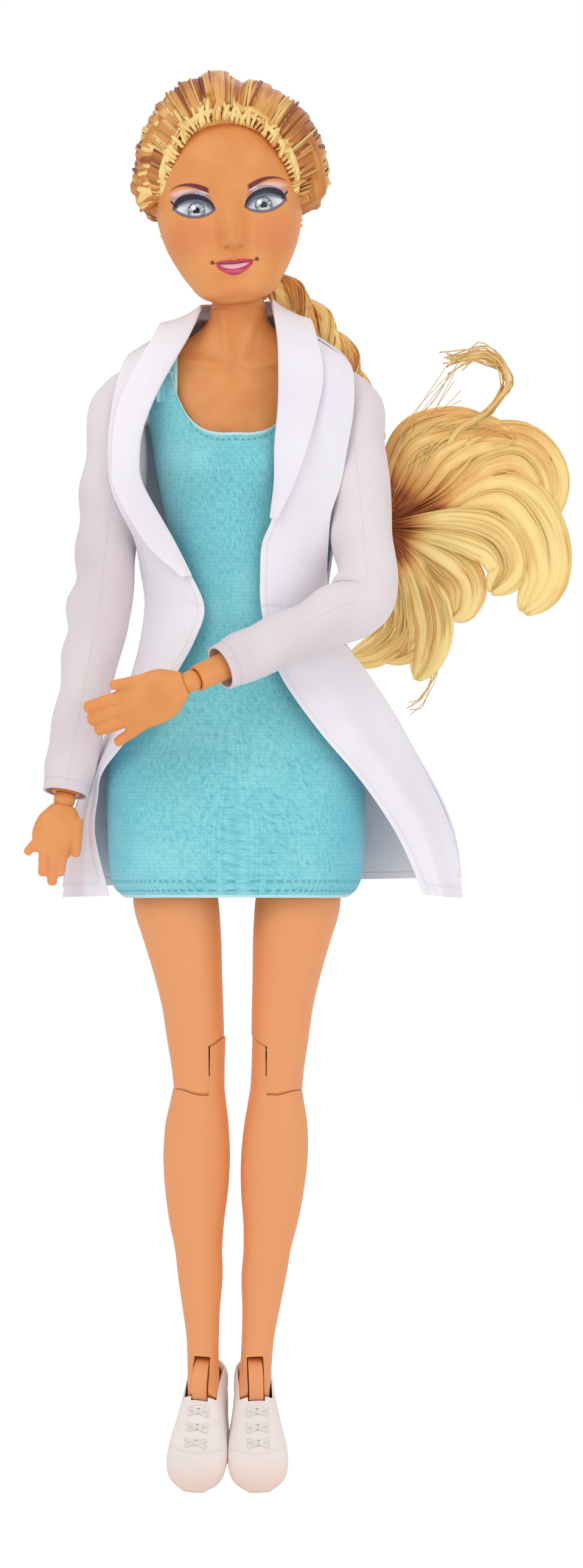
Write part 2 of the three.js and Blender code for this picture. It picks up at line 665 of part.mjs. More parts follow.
function headRing([z, half, front, back], grow, count) {
  const middle = (back - front) / 2;
  const depth = (back + front) / 2 + grow;
  const points = ring(0, middle, z, half + grow, depth, depth, 2.2, count);
  for (const p of points) {
    if (p.y < middle) {
      const nose = 3.4 * Math.exp(-((p.x / 2.2) ** 2) - ((z - 15.6) / 3.2) ** 2);
      const sockets = 0.9 * Math.exp(-(((Math.abs(p.x) - 7) / 4) ** 2) - ((z - 22.5) / 3) ** 2);
      const lips = 0.7 * Math.exp(-((p.x / 4.4) ** 2) - ((z - 9.8) / 2.2) ** 2);
      p.y += sockets - nose - lips;
    }
  }
  return points;
}

function headLoft(grow, count, steps) {
  const rings = [];
  const [low, high] = [HEAD[0][0], HEAD.at(-1)[0]];
  for (let k = 0; k <= steps; k++) {
    const z = mix(low, high, k / steps);
    rings.push(headRing([z, ...along(HEAD, z)], grow, count));
  }
  return loft(rings);
}

{
  const floor = NECK_DOME + GAP + 1.6;
  const cavity = headLoft(-SHELL, 10, 6).intersect(block(-20, 20, -20, 20, floor, 60));
  const head = headLoft(0, 16, 12)
    .subtract(cavity)
    .subtract(ball(NECK_DOME + GAP))
    .subtract(rod(KNOB_STEM + GAP, 0, floor + 1, "z", [0, 0, 0], 12));
  add(headFrame, "head", head, FACE);
  const knob = rod(KNOB_DISC, GAP + 0.2 - KNOB_SLOT, KNOB_SLOT - GAP - 0.2, "x")
    .add(rod(KNOB_STEM, 0, floor + 2.4, "z", [0, 0, 0], 12))
    .add(rod(KNOB_FLANGE, floor + GAP, floor + 1.8, "z", [0, 0, 0], 14))
    .subtract(rod(0.8 + GAP, -3, 3, "x", [0, 0, 0], 10));
  add(headFrame, "neck_knob", knob, SKIN);

  // Hair: swept hull with the face opening cut from its front
  const hullRings = [];
  for (let k = 0; k <= 10; k++) {
    const z = mix(HAIR[0][0], HAIR.at(-1)[0], k / 10);
    const [half, front, back] = along(HAIR, z);
    const points = ring(0, (back - front) / 2, z, half, (back + front) / 2, (back + front) / 2, 2.2, 16);
    points.forEach((p, i) => {
      const wave = 0.5 * Math.sin(i * 2.4 + z * 0.5) * Math.min(1, (z - 3) / 10);
      p.x *= 1 + wave / 20;
      p.y *= 1 + wave / 24;
    });
    hullRings.push(points);
  }
  const opening = new THREE.Shape();
  const { centre, halfWidth, halfHeight, back } = FACE_OPENING;
  opening.absellipse(0, centre, halfWidth, halfHeight, 0, 2 * Math.PI);
  const cutter = new THREE.ExtrudeGeometry(opening, { depth: 40, bevelEnabled: false, curveSegments: 9 });
  const hair = loft(hullRings)
    .subtract(headLoft(GAP, 16, 12))
    .subtract(twistSolid(headFrame, 0.35))
    .subtract(solid(cutter.rotateX(Math.PI / 2).translate(0, back, 0)))
    .subtract(ball(NECK_DOME + GAP));
  add(headFrame, "hair_cap", hair, HAIR_FIBRE);
}

// Arms
const fingers = (side) => [
  { at: [side * 3.9, 0.2, -11.4], to: [side * 4.6, -1.6, -20], r: 1.15 },
  { at: [side * 1.4, 0, -11.8], to: [side * 1.6, -2, -22.6], r: 1.2 },
  { at: [side * -1.2, 0, -11.6], to: [side * -1.6, -2.2, -21.8], r: 1.15 },
  { at: [side * -3.7, 0.2, -10.8], to: [side * -5.2, -1.8, -18.4], r: 1.05 },
  { at: [side * 4, -0.4, -4.6], to: [side * 8, -2.4, -11.6], r: 1.35 },
];

function hand(side) {
  const palm = loft([
    ring(0, 0, -1.3, 2.5, 2.2, 2.2, 2.2, 10),
    ring(0, 0, -4, 3.1, 2.1, 2.1, 2.3, 10),
    ring(side * 0.2, 0, -8, 4.8, 2.1, 2, 2.5, 10),
    ring(0, 0, -11.6, 5.1, 1.8, 1.6, 2.6, 10),
    ring(0, -0.2, -13.2, 4.4, 1.3, 1.1, 2.6, 10),
  ]);
  return fingers(side).reduce((shape, { at, to, r }) => {
    const [from, end] = [vec(at), vec(to)];
    const bend = from.clone().lerp(end, 0.55).add(new THREE.Vector3(0, 0.5, 0));
    const curve = new THREE.QuadraticBezierCurve3(from, bend, end);
    const stations = [0, 0.45, 0.88, 1].map((t, i) => ({
      at: curve.getPoint(t),
      towards: curve.getTangent(t),
      wide: r * [1.1, 1.05, 0.85, 0.4][i],
      deep: r * [1.05, 0.95, 0.75, 0.35][i],
      side: new THREE.Vector3(1, 0, 0),
    }));
    return shape.add(tube(stations, true, 0, 5));
  }, palm);
}

for (const key of ["r", "l"]) {
  const side = SIDES[key];
  const [shoulder, elbow, wrist, tips] = [SHOULDER, ELBOW, WRIST, FINGERTIPS].map((place) => vec(place[key]));
  const upper = elbow.clone().sub(shoulder);
  const fore = wrist.clone().sub(elbow);
  const palm = tips.clone().sub(wrist);
  const inward = new THREE.Vector3(-side, 0, 0);
  const liftAxis = new THREE.Vector3(1, 0, 0).cross(upper).normalize();
  const bendAxis = upper.clone().cross(fore).normalize();
  const palmAxis = fore.clone().cross(palm).normalize();

  const hinge = jointFrame(`shoulder_hinge_frame_${key}`, SHOULDER[key], inward, liftAxis);
  const { length, ball: radius } = SHOULDER_KNUCKLE;
  const flange = rod(2.5, radius + length - 1.6, radius + length - 0.2, "z", [0, 0, 0], 14);
  add(hinge, `shoulder_hinge_${key}`, knuckle(SHOULDER_KNUCKLE).add(flange), SKIN);

  const armFrame = jointFrame(`upper_arm_frame_${key}`, SHOULDER[key], upper.clone().negate(), liftAxis);
  const reach = upper.length();
  const stretch = (reach - 3) / UPPER_ARM.at(-1)[0];
  const armRows = UPPER_ARM.map(([down, ...rest]) => [down < 10 ? down : down * stretch, ...rest]);
  const upperArm = limb(armRows, side)
    .subtract(ball(SHOULDER_KNUCKLE.ball + GAP))
    .add(tongue(SHOULDER_KNUCKLE))
    .subtract(ball(ELBOW_KNUCKLE.ball + GAP, 0, 0, -reach))
    .subtract(rod(ELBOW_KNUCKLE.peg + GAP, -reach, -reach + ELBOW_KNUCKLE.ball + ELBOW_KNUCKLE.length + GAP, "z"));
  add(armFrame, `upper_arm_${key}`, upperArm, SKIN);

  const elbowFrame = jointFrame(`elbow_frame_${key}`, ELBOW[key], upper.clone().negate(), bendAxis);
  add(elbowFrame, `elbow_knuckle_${key}`, knuckle(ELBOW_KNUCKLE), SKIN);

  const foreFrame = jointFrame(`forearm_frame_${key}`, ELBOW[key], fore.clone().negate(), bendAxis);
  const foreReach = fore.length();
  const foreStretch = (foreReach - 1.4) / FOREARM.at(-1)[0];
  const foreRows = FOREARM.map(([down, ...rest]) => [down < 10 ? down : down * foreStretch, ...rest]);
  const forearm = limb(foreRows, side)
    .subtract(ball(ELBOW_KNUCKLE.ball + GAP))
    .add(tongue(ELBOW_KNUCKLE))
    .subtract(ball(WRIST_KNUCKLE.ball + GAP, 0, 0, -foreReach))
    .subtract(rod(WRIST_KNUCKLE.peg + GAP, -foreReach, -foreReach + WRIST_KNUCKLE.ball + WRIST_KNUCKLE.length + GAP, "z"));
  add(foreFrame, `forearm_${key}`, forearm, SKIN);

  const wristFrame = jointFrame(`wrist_frame_${key}`, WRIST[key], fore.clone().negate(), palmAxis);
  add(wristFrame, `wrist_peg_${key}`, knuckle(WRIST_KNUCKLE), SKIN);

  const handFrame = jointFrame(`hand_frame_${key}`, WRIST[key], palm.clone().negate(), palmAxis);
  const handShape = hand(key === "r" ? 1 : -1)
    .subtract(ball(WRIST_KNUCKLE.ball + GAP))
    .add(tongue(WRIST_KNUCKLE));
  add(handFrame, `hand_${key}`, handShape, SKIN);
}

// Legs
function shoeSolid(wall, floor, count) {
  const rings = SHOE.map(([ahead, half, top, sole], i) => {
    const low = sole + floor;
    const high = top - wall;
    const end = i === 0 ? -wall : i === SHOE.length - 1 ? wall : 0;
    const middle = (high + low) / 2;
    return ring(0, 0, 0, half - wall, middle - low, high - middle, 2.6, count).map(
      (p) => new THREE.Vector3(p.x, end - ahead, middle + Math.max(p.y * SOLE_FLAT, low - middle)),
    );
  });
  return loft(rings);
}

const wedge = (x0, half0, x1, half1, depth) => {
  const shape = new THREE.Shape();
  shape.moveTo(x0, -half0);
  shape.lineTo(x1, -half1);
  shape.lineTo(x1, half1);
  shape.lineTo(x0, half0);
  shape.closePath();
  const prism = new THREE.ExtrudeGeometry(shape, { depth: 2 * depth, bevelEnabled: false });
  return solid(prism.rotateX(Math.PI / 2).translate(0, depth, 0));
};

for (const key of ["r", "l"]) {
  const side = SIDES[key];
  const [hip, knee, ankle] = [HIP, KNEE, ANKLE].map((place) => vec(place[key]));
  const up = new THREE.Vector3(0, 0, 1);
  const across = new THREE.Vector3(1, 0, 0);
  const lean = (from, to) => [(to.x - from.x) / (from.z - to.z), (to.y - from.y) / (from.z - to.z)];
  const [thighDrop, shinDrop] = [hip.z - knee.z, knee.z - ankle.z];

  // Hinge piece: its flanged peg turns in the torso, its disc is pinned in the thigh's slot
  const hingeFrame = jointFrame(`hip_hinge_frame_${key}`, HIP[key], up, across);
  const pegEnd = -side * (Math.abs(hip.x) - 0.7);
  const flangeEnd = -side * (Math.abs(hip.x) - 1.5);
  const discHalf = HIP_TONGUE / 2;
  const hipHinge = rod(HIP_DISC, -discHalf, discHalf, "y")
    .add(block(...[-side * 5.4, -side * 3].sort((a, b) => a - b), -discHalf, discHalf, -HIP_PEG, HIP_PEG))
    .add(rod(HIP_PEG, pegEnd, -side * 5, "x"))
    .add(rod(HIP_FLANGE, pegEnd, flangeEnd, "x"))
    .subtract(rod(HIP_PIN + GAP, -4, 4, "y"));
  add(hingeFrame, `hip_hinge_${key}`, hipHinge, SKIN);

  const thighFrame = jointFrame(`thigh_frame_${key}`, HIP[key], up, across);
  const slotHalf = discHalf + GAP;
  const spread = Math.tan(rad(28));
  const room = HIP_PEG + GAP;
  const earSpan = side > 0 ? [-20, -KNEE_EAR_SIDE] : [KNEE_EAR_SIDE, 20];
  const capSpan = side > 0 ? [-KNEE_EAR_SIDE, 20] : [-20, KNEE_EAR_SIDE];
  const thighLean = lean(hip, knee);
  const kneeAt = [knee.x - hip.x, knee.y - hip.y, -thighDrop];
  const shifted = ([a, b], by) => [a + by, b + by];
  const thighSkin = limb(THIGH, side, 11, thighLean);
  const roundCap = rod(KNEE_CAP, ...shifted(capSpan, kneeAt[0]), "x", [0, kneeAt[1], kneeAt[2]], 12);
  // Room behind the cap for the rim of the lower leg when the knee is bent
  const foldFrom = kneeAt[1] + KNEE_CUP - 2 * GAP;
  const kneeFold = block(...shifted(capSpan, kneeAt[0]), foldFrom, 20, -thighDrop - 1, -thighDrop + KNEE_FOLD);
  const pinEnds = [-side * 5.2 + kneeAt[0], -side * 1.4 + kneeAt[0]];
  const thigh = thighSkin
    .intersect(block(-30, 30, -30, 30, -thighDrop, 30))
    .subtract(kneeFold)
    .add(thighSkin.intersect(roundCap))
    .add(ball(HIP_BALL, 0, 0, 0, 14))
    .subtract(rod(KNEE_EAR + GAP, ...shifted(earSpan, kneeAt[0]), "x", [0, kneeAt[1], kneeAt[2]], 12))
    .subtract(block(...shifted(earSpan, kneeAt[0]), -20, 20, -thighDrop - 9, -thighDrop))
    .subtract(rod(HIP_DISC + GAP, -slotHalf, slotHalf, "y", [0, 0, 0], 16))
    .subtract(wedge(-side * 2, room + 1, -side * 14, room + 1 + 12 * spread, slotHalf))
    .subtract(wedge(-side * 3.6, room + 0.4, -side * 14, room + 0.4 + 10.4 * spread, room))
    .add(rod(HIP_PIN, -slotHalf - 1, slotHalf + 1, "y"))
    .add(rod(KNEE_PIN, ...pinEnds, "x", [0, kneeAt[1], kneeAt[2]], 10));
  add(thighFrame, `thigh_${key}`, thigh, SKIN);

  // Lower leg: an ear beside the thigh's cap, a cup under the cap, and a fork for the foot
  const shinFrame = jointFrame(`lower_leg_frame_${key}`, KNEE[key], up, across);
  const shin = limb(LOWER_LEG, side, 11, lean(knee, ankle));
  const earClear = side > 0 ? [-20, -KNEE_EAR_SIDE - GAP] : [KNEE_EAR_SIDE + GAP, 20];
  const ear = shin.intersect(rod(KNEE_EAR, ...earClear, "x", [0, 0, 0], 12)).intersect(block(-20, 20, -20, 20, -7, 20));
  const ankleAt = [ankle.x - knee.x, ankle.y - knee.y, -shinDrop];
  const turn = new THREE.Matrix4()
    .makeTranslation(...ankleAt)
    .multiply(new THREE.Matrix4().makeRotationY(rad(-side * FOOT_TILT[key])))
    .multiply(new THREE.Matrix4().makeRotationZ(rad(side * TOE_OUT[key])));
  const forkHalf = ANKLE_TONGUE / 2 + 0.25;
  const cheeks = placed(turn, () => rod(ANKLE_CHEEK, -9, 9, "x", [0, 0, 0], 12));
  const forkSlot = placed(turn, () => block(-forkHalf, forkHalf, -9, 9, -12, ANKLE_TOP + 0.4));
  const anklePin = placed(turn, () => rod(ANKLE_PIN, -forkHalf - 1, forkHalf + 1, "x", [0, 0, 0], 10));
  const lowerLeg = shin
    .intersect(block(-20, 20, -20, 20, -shinDrop, -KNEE_CUP))
    .subtract(rod(KNEE_CAP + GAP + 0.1, ...capSpan, "x", [0, 0, 0], 12))
    .add(ear)
    .subtract(rod(KNEE_PIN + GAP, -20, 20, "x", [0, 0, 0], 10))
    .add(shin.intersect(cheeks))
    .subtract(forkSlot)
    .add(anklePin);
  add(shinFrame, `lower_leg_${key}`, lowerLeg, SKIN);

  // Foot frame: toes pointed down, turned out and tilted with the ankle fork
  const footFrame = new THREE.Group();
  footFrame.name = `foot_frame_${key}`;
  doll.add(footFrame);
  turn.setPosition(ankle).multiply(new THREE.Matrix4().makeRotationX(rad(FOOT_POINT)));
  turn.decompose(footFrame.position, footFrame.quaternion, footFrame.scale);
  const tongueHalf = ANKLE_TONGUE / 2;
  const instep = solid(new THREE.CylinderGeometry(2.4, 3.1, 3.6, 12).rotateX(Math.PI / 2).translate(0, 0, -6.6));
  const foot = shoeSolid(SHOE_WALL + 1.5 * GAP, SOLE_WALL + 1.5 * GAP, 10)
    .intersect(block(-9, 9, -30, 9, -20, -4.4))
    .add(instep)
    .add(rod(ANKLE_TOP, -tongueHalf, tongueHalf, "x", [0, 0, 0], 18))
    .add(block(-tongueHalf, tongueHalf, -2.2, 2.2, -8, 0))
    .subtract(rod(ANKLE_PIN + GAP, -9, 9, "x", [0, 0, 0], 10));
  add(footFrame, `foot_${key}`, foot, SKIN);
  // The shoe's collar is open over the whole swing of the ankle
  const [s, c] = [Math.sin(rad(FOOT_POINT)), Math.cos(rad(FOOT_POINT))];
  const swing = new THREE.Shape();
  swing.moveTo(COLLAR_CLEAR * c, -COLLAR_CLEAR * s);
  swing.lineTo(COLLAR_CLEAR * c + 12 * s, -COLLAR_CLEAR * s + 12 * c);
  swing.lineTo(14, 12);
  swing.lineTo(-COLLAR_CLEAR, 12);
  swing.lineTo(-COLLAR_CLEAR, 0);
  swing.closePath();
  const sweep = new THREE.ExtrudeGeometry(swing, { depth: 2 * COLLAR_HALF, bevelEnabled: false });
  sweep.applyMatrix4(new THREE.Matrix4().set(0, 0, 1, -COLLAR_HALF, 1, 0, 0, 0, 0, 1, 0, 0, 0, 0, 0, 1));
  const shoe = shoeSolid(0, 0, 12)
    .subtract(shoeSolid(SHOE_WALL, SOLE_WALL, 10))
    .subtract(solid(sweep))
    .subtract(rod(COLLAR_CLEAR, -COLLAR_HALF, COLLAR_HALF, "x", [0, 0, 0], 14))
    .subtract(rod(ANKLE_TOP + GAP, -tongueHalf - GAP, tongueHalf + GAP, "x", [0, 0, 0], 14));
  add(footFrame, `shoe_${key}`, shoe, SHOE_PLASTIC);
}

// Dress: a knitted tube with its top edge cut for the neck and arms, and two shoulder straps
{
  const hem = DRESS[0][0];
  const topEdge = (u) => {
    const angle = u * 360;
    const front = angle >= 180;
    const turn = angle % 180;
    const fromSide = turn > 90 ? 180 - turn : turn;
    return along(front ? NECKLINE_FRONT : NECKLINE_BACK, fromSide)[0];
  };
  const dressPoint = (u, v) => {
    const z = mix(hem, topEdge(u), v);
    const [half, front, back] = along(DRESS, z);
    const [c, s] = [Math.cos(2 * Math.PI * u), Math.sin(2 * Math.PI * u)];
    const low = Math.min(Math.max((-26 - z) / 20, 0), 1);
    const fold = s < 0 ? low * 0.5 * Math.sin(10 * Math.PI * u + 0.6) : 0;
    const round = 2 / mix(2.3, 3.6, low);
    const x = Math.sign(c) * Math.abs(c) ** round * half;
    let y = Math.sign(s) * Math.abs(s) ** round * ((s < 0 ? front : back) + fold);
    const side = (Math.abs(x) - BUST.side) / BUST.width;
    const rise = (z - BUST.height) / BUST.spread;
    if (s < 0) y -= BUST.depth * Math.exp(-side * side - rise * rise);
    return new THREE.Vector3(x, y, z);
  };
  let dress = sheet(dressPoint, 26, 11, CLOTH, true);
  for (const side of [-1, 1]) {
    const strapPath = numbered([[-7.8, 43.5], [-7.1, 48], [-5.6, 52.8], [0, 57], [5.8, 53], [7.1, 48], [7.8, 43.5]]);
    const strap = (u, v) => {
      const [y, z] = along(strapPath, u);
      const drop = (v - 0.5) * STRAP.width;
      const slope = 0.8 * Math.max(0, 1 - Math.abs(u - 0.5) * 2.4);
      return new THREE.Vector3(side * (STRAP.side + drop), y, z - drop * slope);
    };
    dress = dress.add(sheet(strap, 6, 1, CLOTH));
  }
  add(doll, "dress", dress, KNIT);
}

// Coat panels
function frontPanel(rows, fold) {
  const table = numbered(rows);
  return (u, v) => {
    const [x0, y0, z0, x1, y1, z1] = along(table, v);
    const low = Math.max(0, 1 - v * 2.4);
    const wave = fold * low * Math.sin(u * 9.5) * Math.sin(Math.PI * Math.min(1, u * 1.02));
    return new THREE.Vector3(mix(x0, x1, u), mix(y0, y1, u ** 1.8) + wave, mix(z0, z1, u));
  };
}

{
  add(doll, "coat_front_r", sheet(frontPanel(COAT_FRONT_R, 0.8), 5, 16, CLOTH), COAT);
  add(doll, "coat_front_l", sheet(frontPanel(COAT_FRONT_L, 1.4), 7, 15, CLOTH), COAT);
  const table = numbered(COAT_BACK);
  const backPoint = (u, v) => {
    const [x0, y0, z0, x1, y1, z1, depth] = along(table, v);
    const c = -Math.cos(Math.PI * u);
    const across = Math.sign(c) * Math.abs(c) ** 0.85;
    const bulge = (1 - Math.abs(across) ** 2.5) ** (1 / 2.5);
    const low = Math.max(0, 1 - v * 2.2);
    const wave = 1.3 * low * Math.sin(u * 25) * Math.sin(Math.PI * u);
    const t = (across + 1) / 2;
    return new THREE.Vector3(mix(x0, x1, t), mix(mix(y0, y1, t), depth, bulge) + wave, mix(z0, z1, t));
  };
  add(doll, "coat_back", sheet(backPoint, 16, 11, CLOTH), COAT);
  const collarRows = numbered(COLLAR);
  const collarPoint = (u, v) => {
    const [x0, y0, z0, x1, y1, z1] = along(collarRows, u);
    return new THREE.Vector3(mix(x0, x1, v), mix(y0, y1, v), mix(z0, z1, v));
  };
  add(doll, "coat_collar", sheet(collarPoint, 24, 2, CLOTH), COAT);
}

// Sleeves: round the shoulder from the armhole, down the arm, round the elbow and along the forearm
for (const key of ["r", "l"]) {
  const side = SIDES[key];
  const [shoulder, elbow, wrist, pivot] = [SHOULDER, ELBOW, WRIST, ARMHOLE].map((place) => vec(place[key]));
  const upper = elbow.clone().sub(shoulder).normalize();
  const fore = wrist.clone().sub(elbow).normalize();
  const lateral = new THREE.Vector3(0, 1, 0);
  const stations = [];
  for (const degrees of [6, 28, 50, 70]) {
    const [s, c] = [Math.sin(rad(degrees)), Math.cos(rad(degrees))];
    stations.push({
      at: pivot.clone().add(new THREE.Vector3(side * s * SLEEVE_ARC, upper.y * 8 * s, c * SLEEVE_ARC)),
      towards: new THREE.Vector3(side * c, 0, -s),
      wide: SLEEVE_RADIUS.cap,
      deep: SLEEVE_RADIUS.cap,
    });
  }
  const length = elbow.distanceTo(shoulder);
  for (const share of [0.26, 0.45, 0.64, 0.8]) {
    const loose = 0.25 * Math.sin(share * 20);
    stations.push({
      at: shoulder.clone().addScaledVector(upper, length * share),
      towards: upper,
      wide: SLEEVE_RADIUS.arm + loose,
      deep: SLEEVE_RADIUS.arm - loose,
    });
  }
  // Round the elbow about a corner on the inner side of the bend
  const bend = upper.angleTo(fore);
  const axis = upper.clone().cross(fore).normalize();
  const toCorner = axis.clone().cross(upper).normalize();
  const half = Math.tan(bend / 2) * SLEEVE_ARC;
  const start = elbow.clone().addScaledVector(upper, -half);
  const corner = start.clone().addScaledVector(toCorner, SLEEVE_ARC);
  for (const share of bend > 0.5 ? [0, 0.33, 0.67, 1] : [0.5]) {
    const turned = bend * share;
    stations.push({
      at: start.clone().sub(corner).applyAxisAngle(axis, turned).add(corner),
      towards: upper.clone().applyAxisAngle(axis, turned),
      wide: SLEEVE_RADIUS.elbow,
      deep: SLEEVE_RADIUS.elbow,
    });
  }
  const from = Math.max(half + 4, 10);
  for (const share of [0, 0.35, 0.7, 1]) {
    const narrow = mix(SLEEVE_RADIUS.forearm, SLEEVE_RADIUS.cuff, share ** 1.4);
    stations.push({
      at: elbow.clone().addScaledVector(fore, mix(from, CUFF_AT[key], share)),
      towards: fore,
      wide: narrow,
      deep: narrow,
    });
  }
  for (const station of stations) station.side = lateral;
  add(doll, `coat_sleeve_${key}`, tube(stations, false, CLOTH, 10), COAT);
}

// Hair: twisted tail from the nape, tie, and the loose locks beyond it
{
  add(doll, "hair_twist", twistSolid(doll, 0), HAIR_FIBRE);
  const [x, y, z] = GATHER;
  const [low, high] = [z + 1.4, z + 1.4 + TIE_RING.height];
  const tie = rod(TIE_RING.outer, low, high, "z", [x, y, 0]).subtract(rod(TIE_RING.inner, low - 1, high + 1, "z", [x, y, 0]));
  add(doll, "hair_tie", tie, TIE);
  const clear = rod(TIE_RING.outer + GAP, low - GAP, high + 6, "z", [x, y, 0]);
  const locks = LOCKS.map(({ width, path }) => {
    const line = new THREE.CatmullRomCurve3(path.map(vec));
    return tube(
      Array.from({ length: 6 }, (_, i) => {
        const t = i / 5;
        const shape = Math.sin(Math.PI * (0.08 + 0.88 * t)) ** 0.8;
        return {
          at: line.getPoint(t),
          towards: line.getTangent(t),
          wide: Math.min(width * 0.5 * shape + 0.35, width),
          deep: (Math.min(width, LOCK_DEPTH) / 2) * (0.35 + 0.65 * shape),
          side: line.getTangent(t).cross(new THREE.Vector3(0, 1, 0)),
        };
      }),
      true,
      0,
      5,
    );
  });
  const neck = rod(TIE_RING.inner - GAP, z - 1, high, "z", [x, y, 0]);
  const loose = locks.reduce((shape, lock) => shape.add(lock)).subtract(clear);
  add(doll, "hair_tail", loose.add(neck), HAIR_FIBRE);
}

export default doll;
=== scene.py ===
"""A jointed fashion doll in a knitted dress and an open coat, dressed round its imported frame."""

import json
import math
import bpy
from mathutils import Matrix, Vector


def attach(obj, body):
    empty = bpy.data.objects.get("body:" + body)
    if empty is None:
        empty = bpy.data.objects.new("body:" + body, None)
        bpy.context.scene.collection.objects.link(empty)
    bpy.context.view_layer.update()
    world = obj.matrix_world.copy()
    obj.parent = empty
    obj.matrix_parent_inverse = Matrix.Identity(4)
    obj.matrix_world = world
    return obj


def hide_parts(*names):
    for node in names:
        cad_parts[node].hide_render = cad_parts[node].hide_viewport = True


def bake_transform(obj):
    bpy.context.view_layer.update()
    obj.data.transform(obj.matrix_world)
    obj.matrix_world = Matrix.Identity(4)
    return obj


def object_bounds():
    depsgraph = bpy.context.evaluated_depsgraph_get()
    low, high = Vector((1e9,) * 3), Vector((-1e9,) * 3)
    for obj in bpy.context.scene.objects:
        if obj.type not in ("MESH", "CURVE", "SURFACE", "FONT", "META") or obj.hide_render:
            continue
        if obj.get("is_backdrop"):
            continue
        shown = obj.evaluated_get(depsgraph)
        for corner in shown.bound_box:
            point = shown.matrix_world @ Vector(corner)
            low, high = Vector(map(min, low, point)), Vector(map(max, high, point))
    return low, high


bl_info = {
    "name": "Jointed fashion doll",
    "version": (1, 0, 0),
    "blender": (4, 5, 0),
    "location": "View3D > Sidebar > Doll",
    "description": "Builds the doll's skin, face, hair, clothes and shoes on its jointed frame",
    "category": "Add Mesh",
}

import bmesh
import bpy
import numpy as np
from mathutils import Matrix, Vector

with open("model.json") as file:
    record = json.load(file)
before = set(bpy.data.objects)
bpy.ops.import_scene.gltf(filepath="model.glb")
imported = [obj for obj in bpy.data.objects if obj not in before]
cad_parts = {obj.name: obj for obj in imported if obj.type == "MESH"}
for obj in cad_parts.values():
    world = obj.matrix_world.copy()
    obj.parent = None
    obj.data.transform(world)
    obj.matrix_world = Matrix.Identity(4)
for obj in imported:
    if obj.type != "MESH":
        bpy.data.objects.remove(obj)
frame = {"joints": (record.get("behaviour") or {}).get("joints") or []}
FRAME_BOX = [list(corner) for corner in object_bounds()]
MM = 0.001
SIDES = {"r": -1.0, "l": 1.0}
JOINTS = {joint["name"]: joint for joint in frame["joints"]}


def joint_at(name):
    """A joint's point in millimetres and its unit axis."""
    joint = JOINTS[name]
    return np.array(joint["pos_m"]) / MM, np.array(joint["axis"], float)


# Sizes that the pieces share with the frame, in millimetres
NECK, _ = joint_at("neck_nod")
HEAD_UP = joint_at("head_turn")[1]
HEAD_ACROSS = np.cross([0.0, 1.0, 0.0], HEAD_UP)
HEAD_SEAT = NECK - 1.2 * HEAD_UP
SHOULDER = {key: joint_at(f"shoulder_swing_{key}")[0] for key in SIDES}
ELBOW = {key: joint_at(f"elbow_bend_{key}")[0] for key in SIDES}
WRIST = {key: joint_at(f"wrist_bend_{key}")[0] for key in SIDES}
HIP = {key: joint_at(f"hip_swing_{key}")[0] for key in SIDES}
KNEE = {key: joint_at(f"knee_bend_{key}")[0] for key in SIDES}
ANKLE = {key: joint_at(f"ankle_bend_{key}")[0] for key in SIDES}
FINGERTIPS = {"r": np.array([-39.6, -12.5, -59.6]), "l": np.array([-32.0, -25.6, -24.6])}
# Play between pieces that move against each other
GAP = 0.3

# Height, half-width, front depth, back depth
TORSO = [
    (-47, 3, 4, 5), (-43, 12, 7.5, 9), (-36, 21.5, 9.3, 11), (-28, 21, 9.4, 11.4), (-20, 18.2, 9.2, 10.8),
    (-10, 13.8, 8.6, 9), (0, 11, 8, 7.5), (10, 11.5, 8.4, 7.5), (20, 13.4, 9.3, 8), (30, 15.2, 10.4, 8.2),
    (38, 16.2, 9.8, 8), (46, 18.6, 7.6, 7.2), (51, 18.4, 6.4, 6.6), (55, 14.5, 5.8, 6), (58, 10, 5.6, 5.8),
    (61, 6.8, 5.6, 5.8), (64, 6, 5.8, 6),
]
# The bust's bells: middle across and up, width, height and depth
BUST_SIDE, BUST_HEIGHT, BUST_WIDTH, BUST_SPREAD, BUST_DEPTH = 7.0, 30.5, 4.6, 6.0, 3.4
# The same for the head and for the hull of its hair, on the head's own axes
HEAD = [
    (2.4, 3.5, 11.8, -3), (4.2, 7.4, 13.2, 1), (7, 9.7, 13.9, 5), (11, 12.1, 14.3, 8.5), (16, 14.3, 14.4, 12),
    (22, 15.6, 14.6, 14.5), (28, 15.9, 15, 15.5), (34, 15.3, 14.7, 15), (40, 12.9, 12.4, 13), (45, 8, 7.5, 8.5),
    (47.5, 2, 2, 2),
]
HAIR = [
    (3, 5.4, -4, 10), (7, 8.6, -3, 14), (12, 10.4, -2, 16.6), (17, 11.8, -1, 18), (20, 13.8, 3, 18.6),
    (23, 17.4, 8, 19), (28, 20.2, 11.5, 19.4), (34, 19.9, 13.8, 18.8), (40, 17.9, 15, 16.8), (45, 14.4, 14, 13.8),
    (49, 9.6, 10.4, 9.4), (52, 3, 3.4, 3.4),
]
# How far the hair's middle is from the head's
HAIR_ASIDE = 0.9
# Distance down the forearm, half-width, front, back
FOREARM = [
    (3, 2.1, 2.1, 2.1), (5.6, 3.8, 3.8, 3.8), (12, 4.2, 4.1, 4.1), (24, 3.7, 3.6, 3.6),
    (35, 3.2, 2.9, 2.9), (41, 3.1, 2.8, 2.8), (42.6, 2.9, 2.7, 2.7),
]
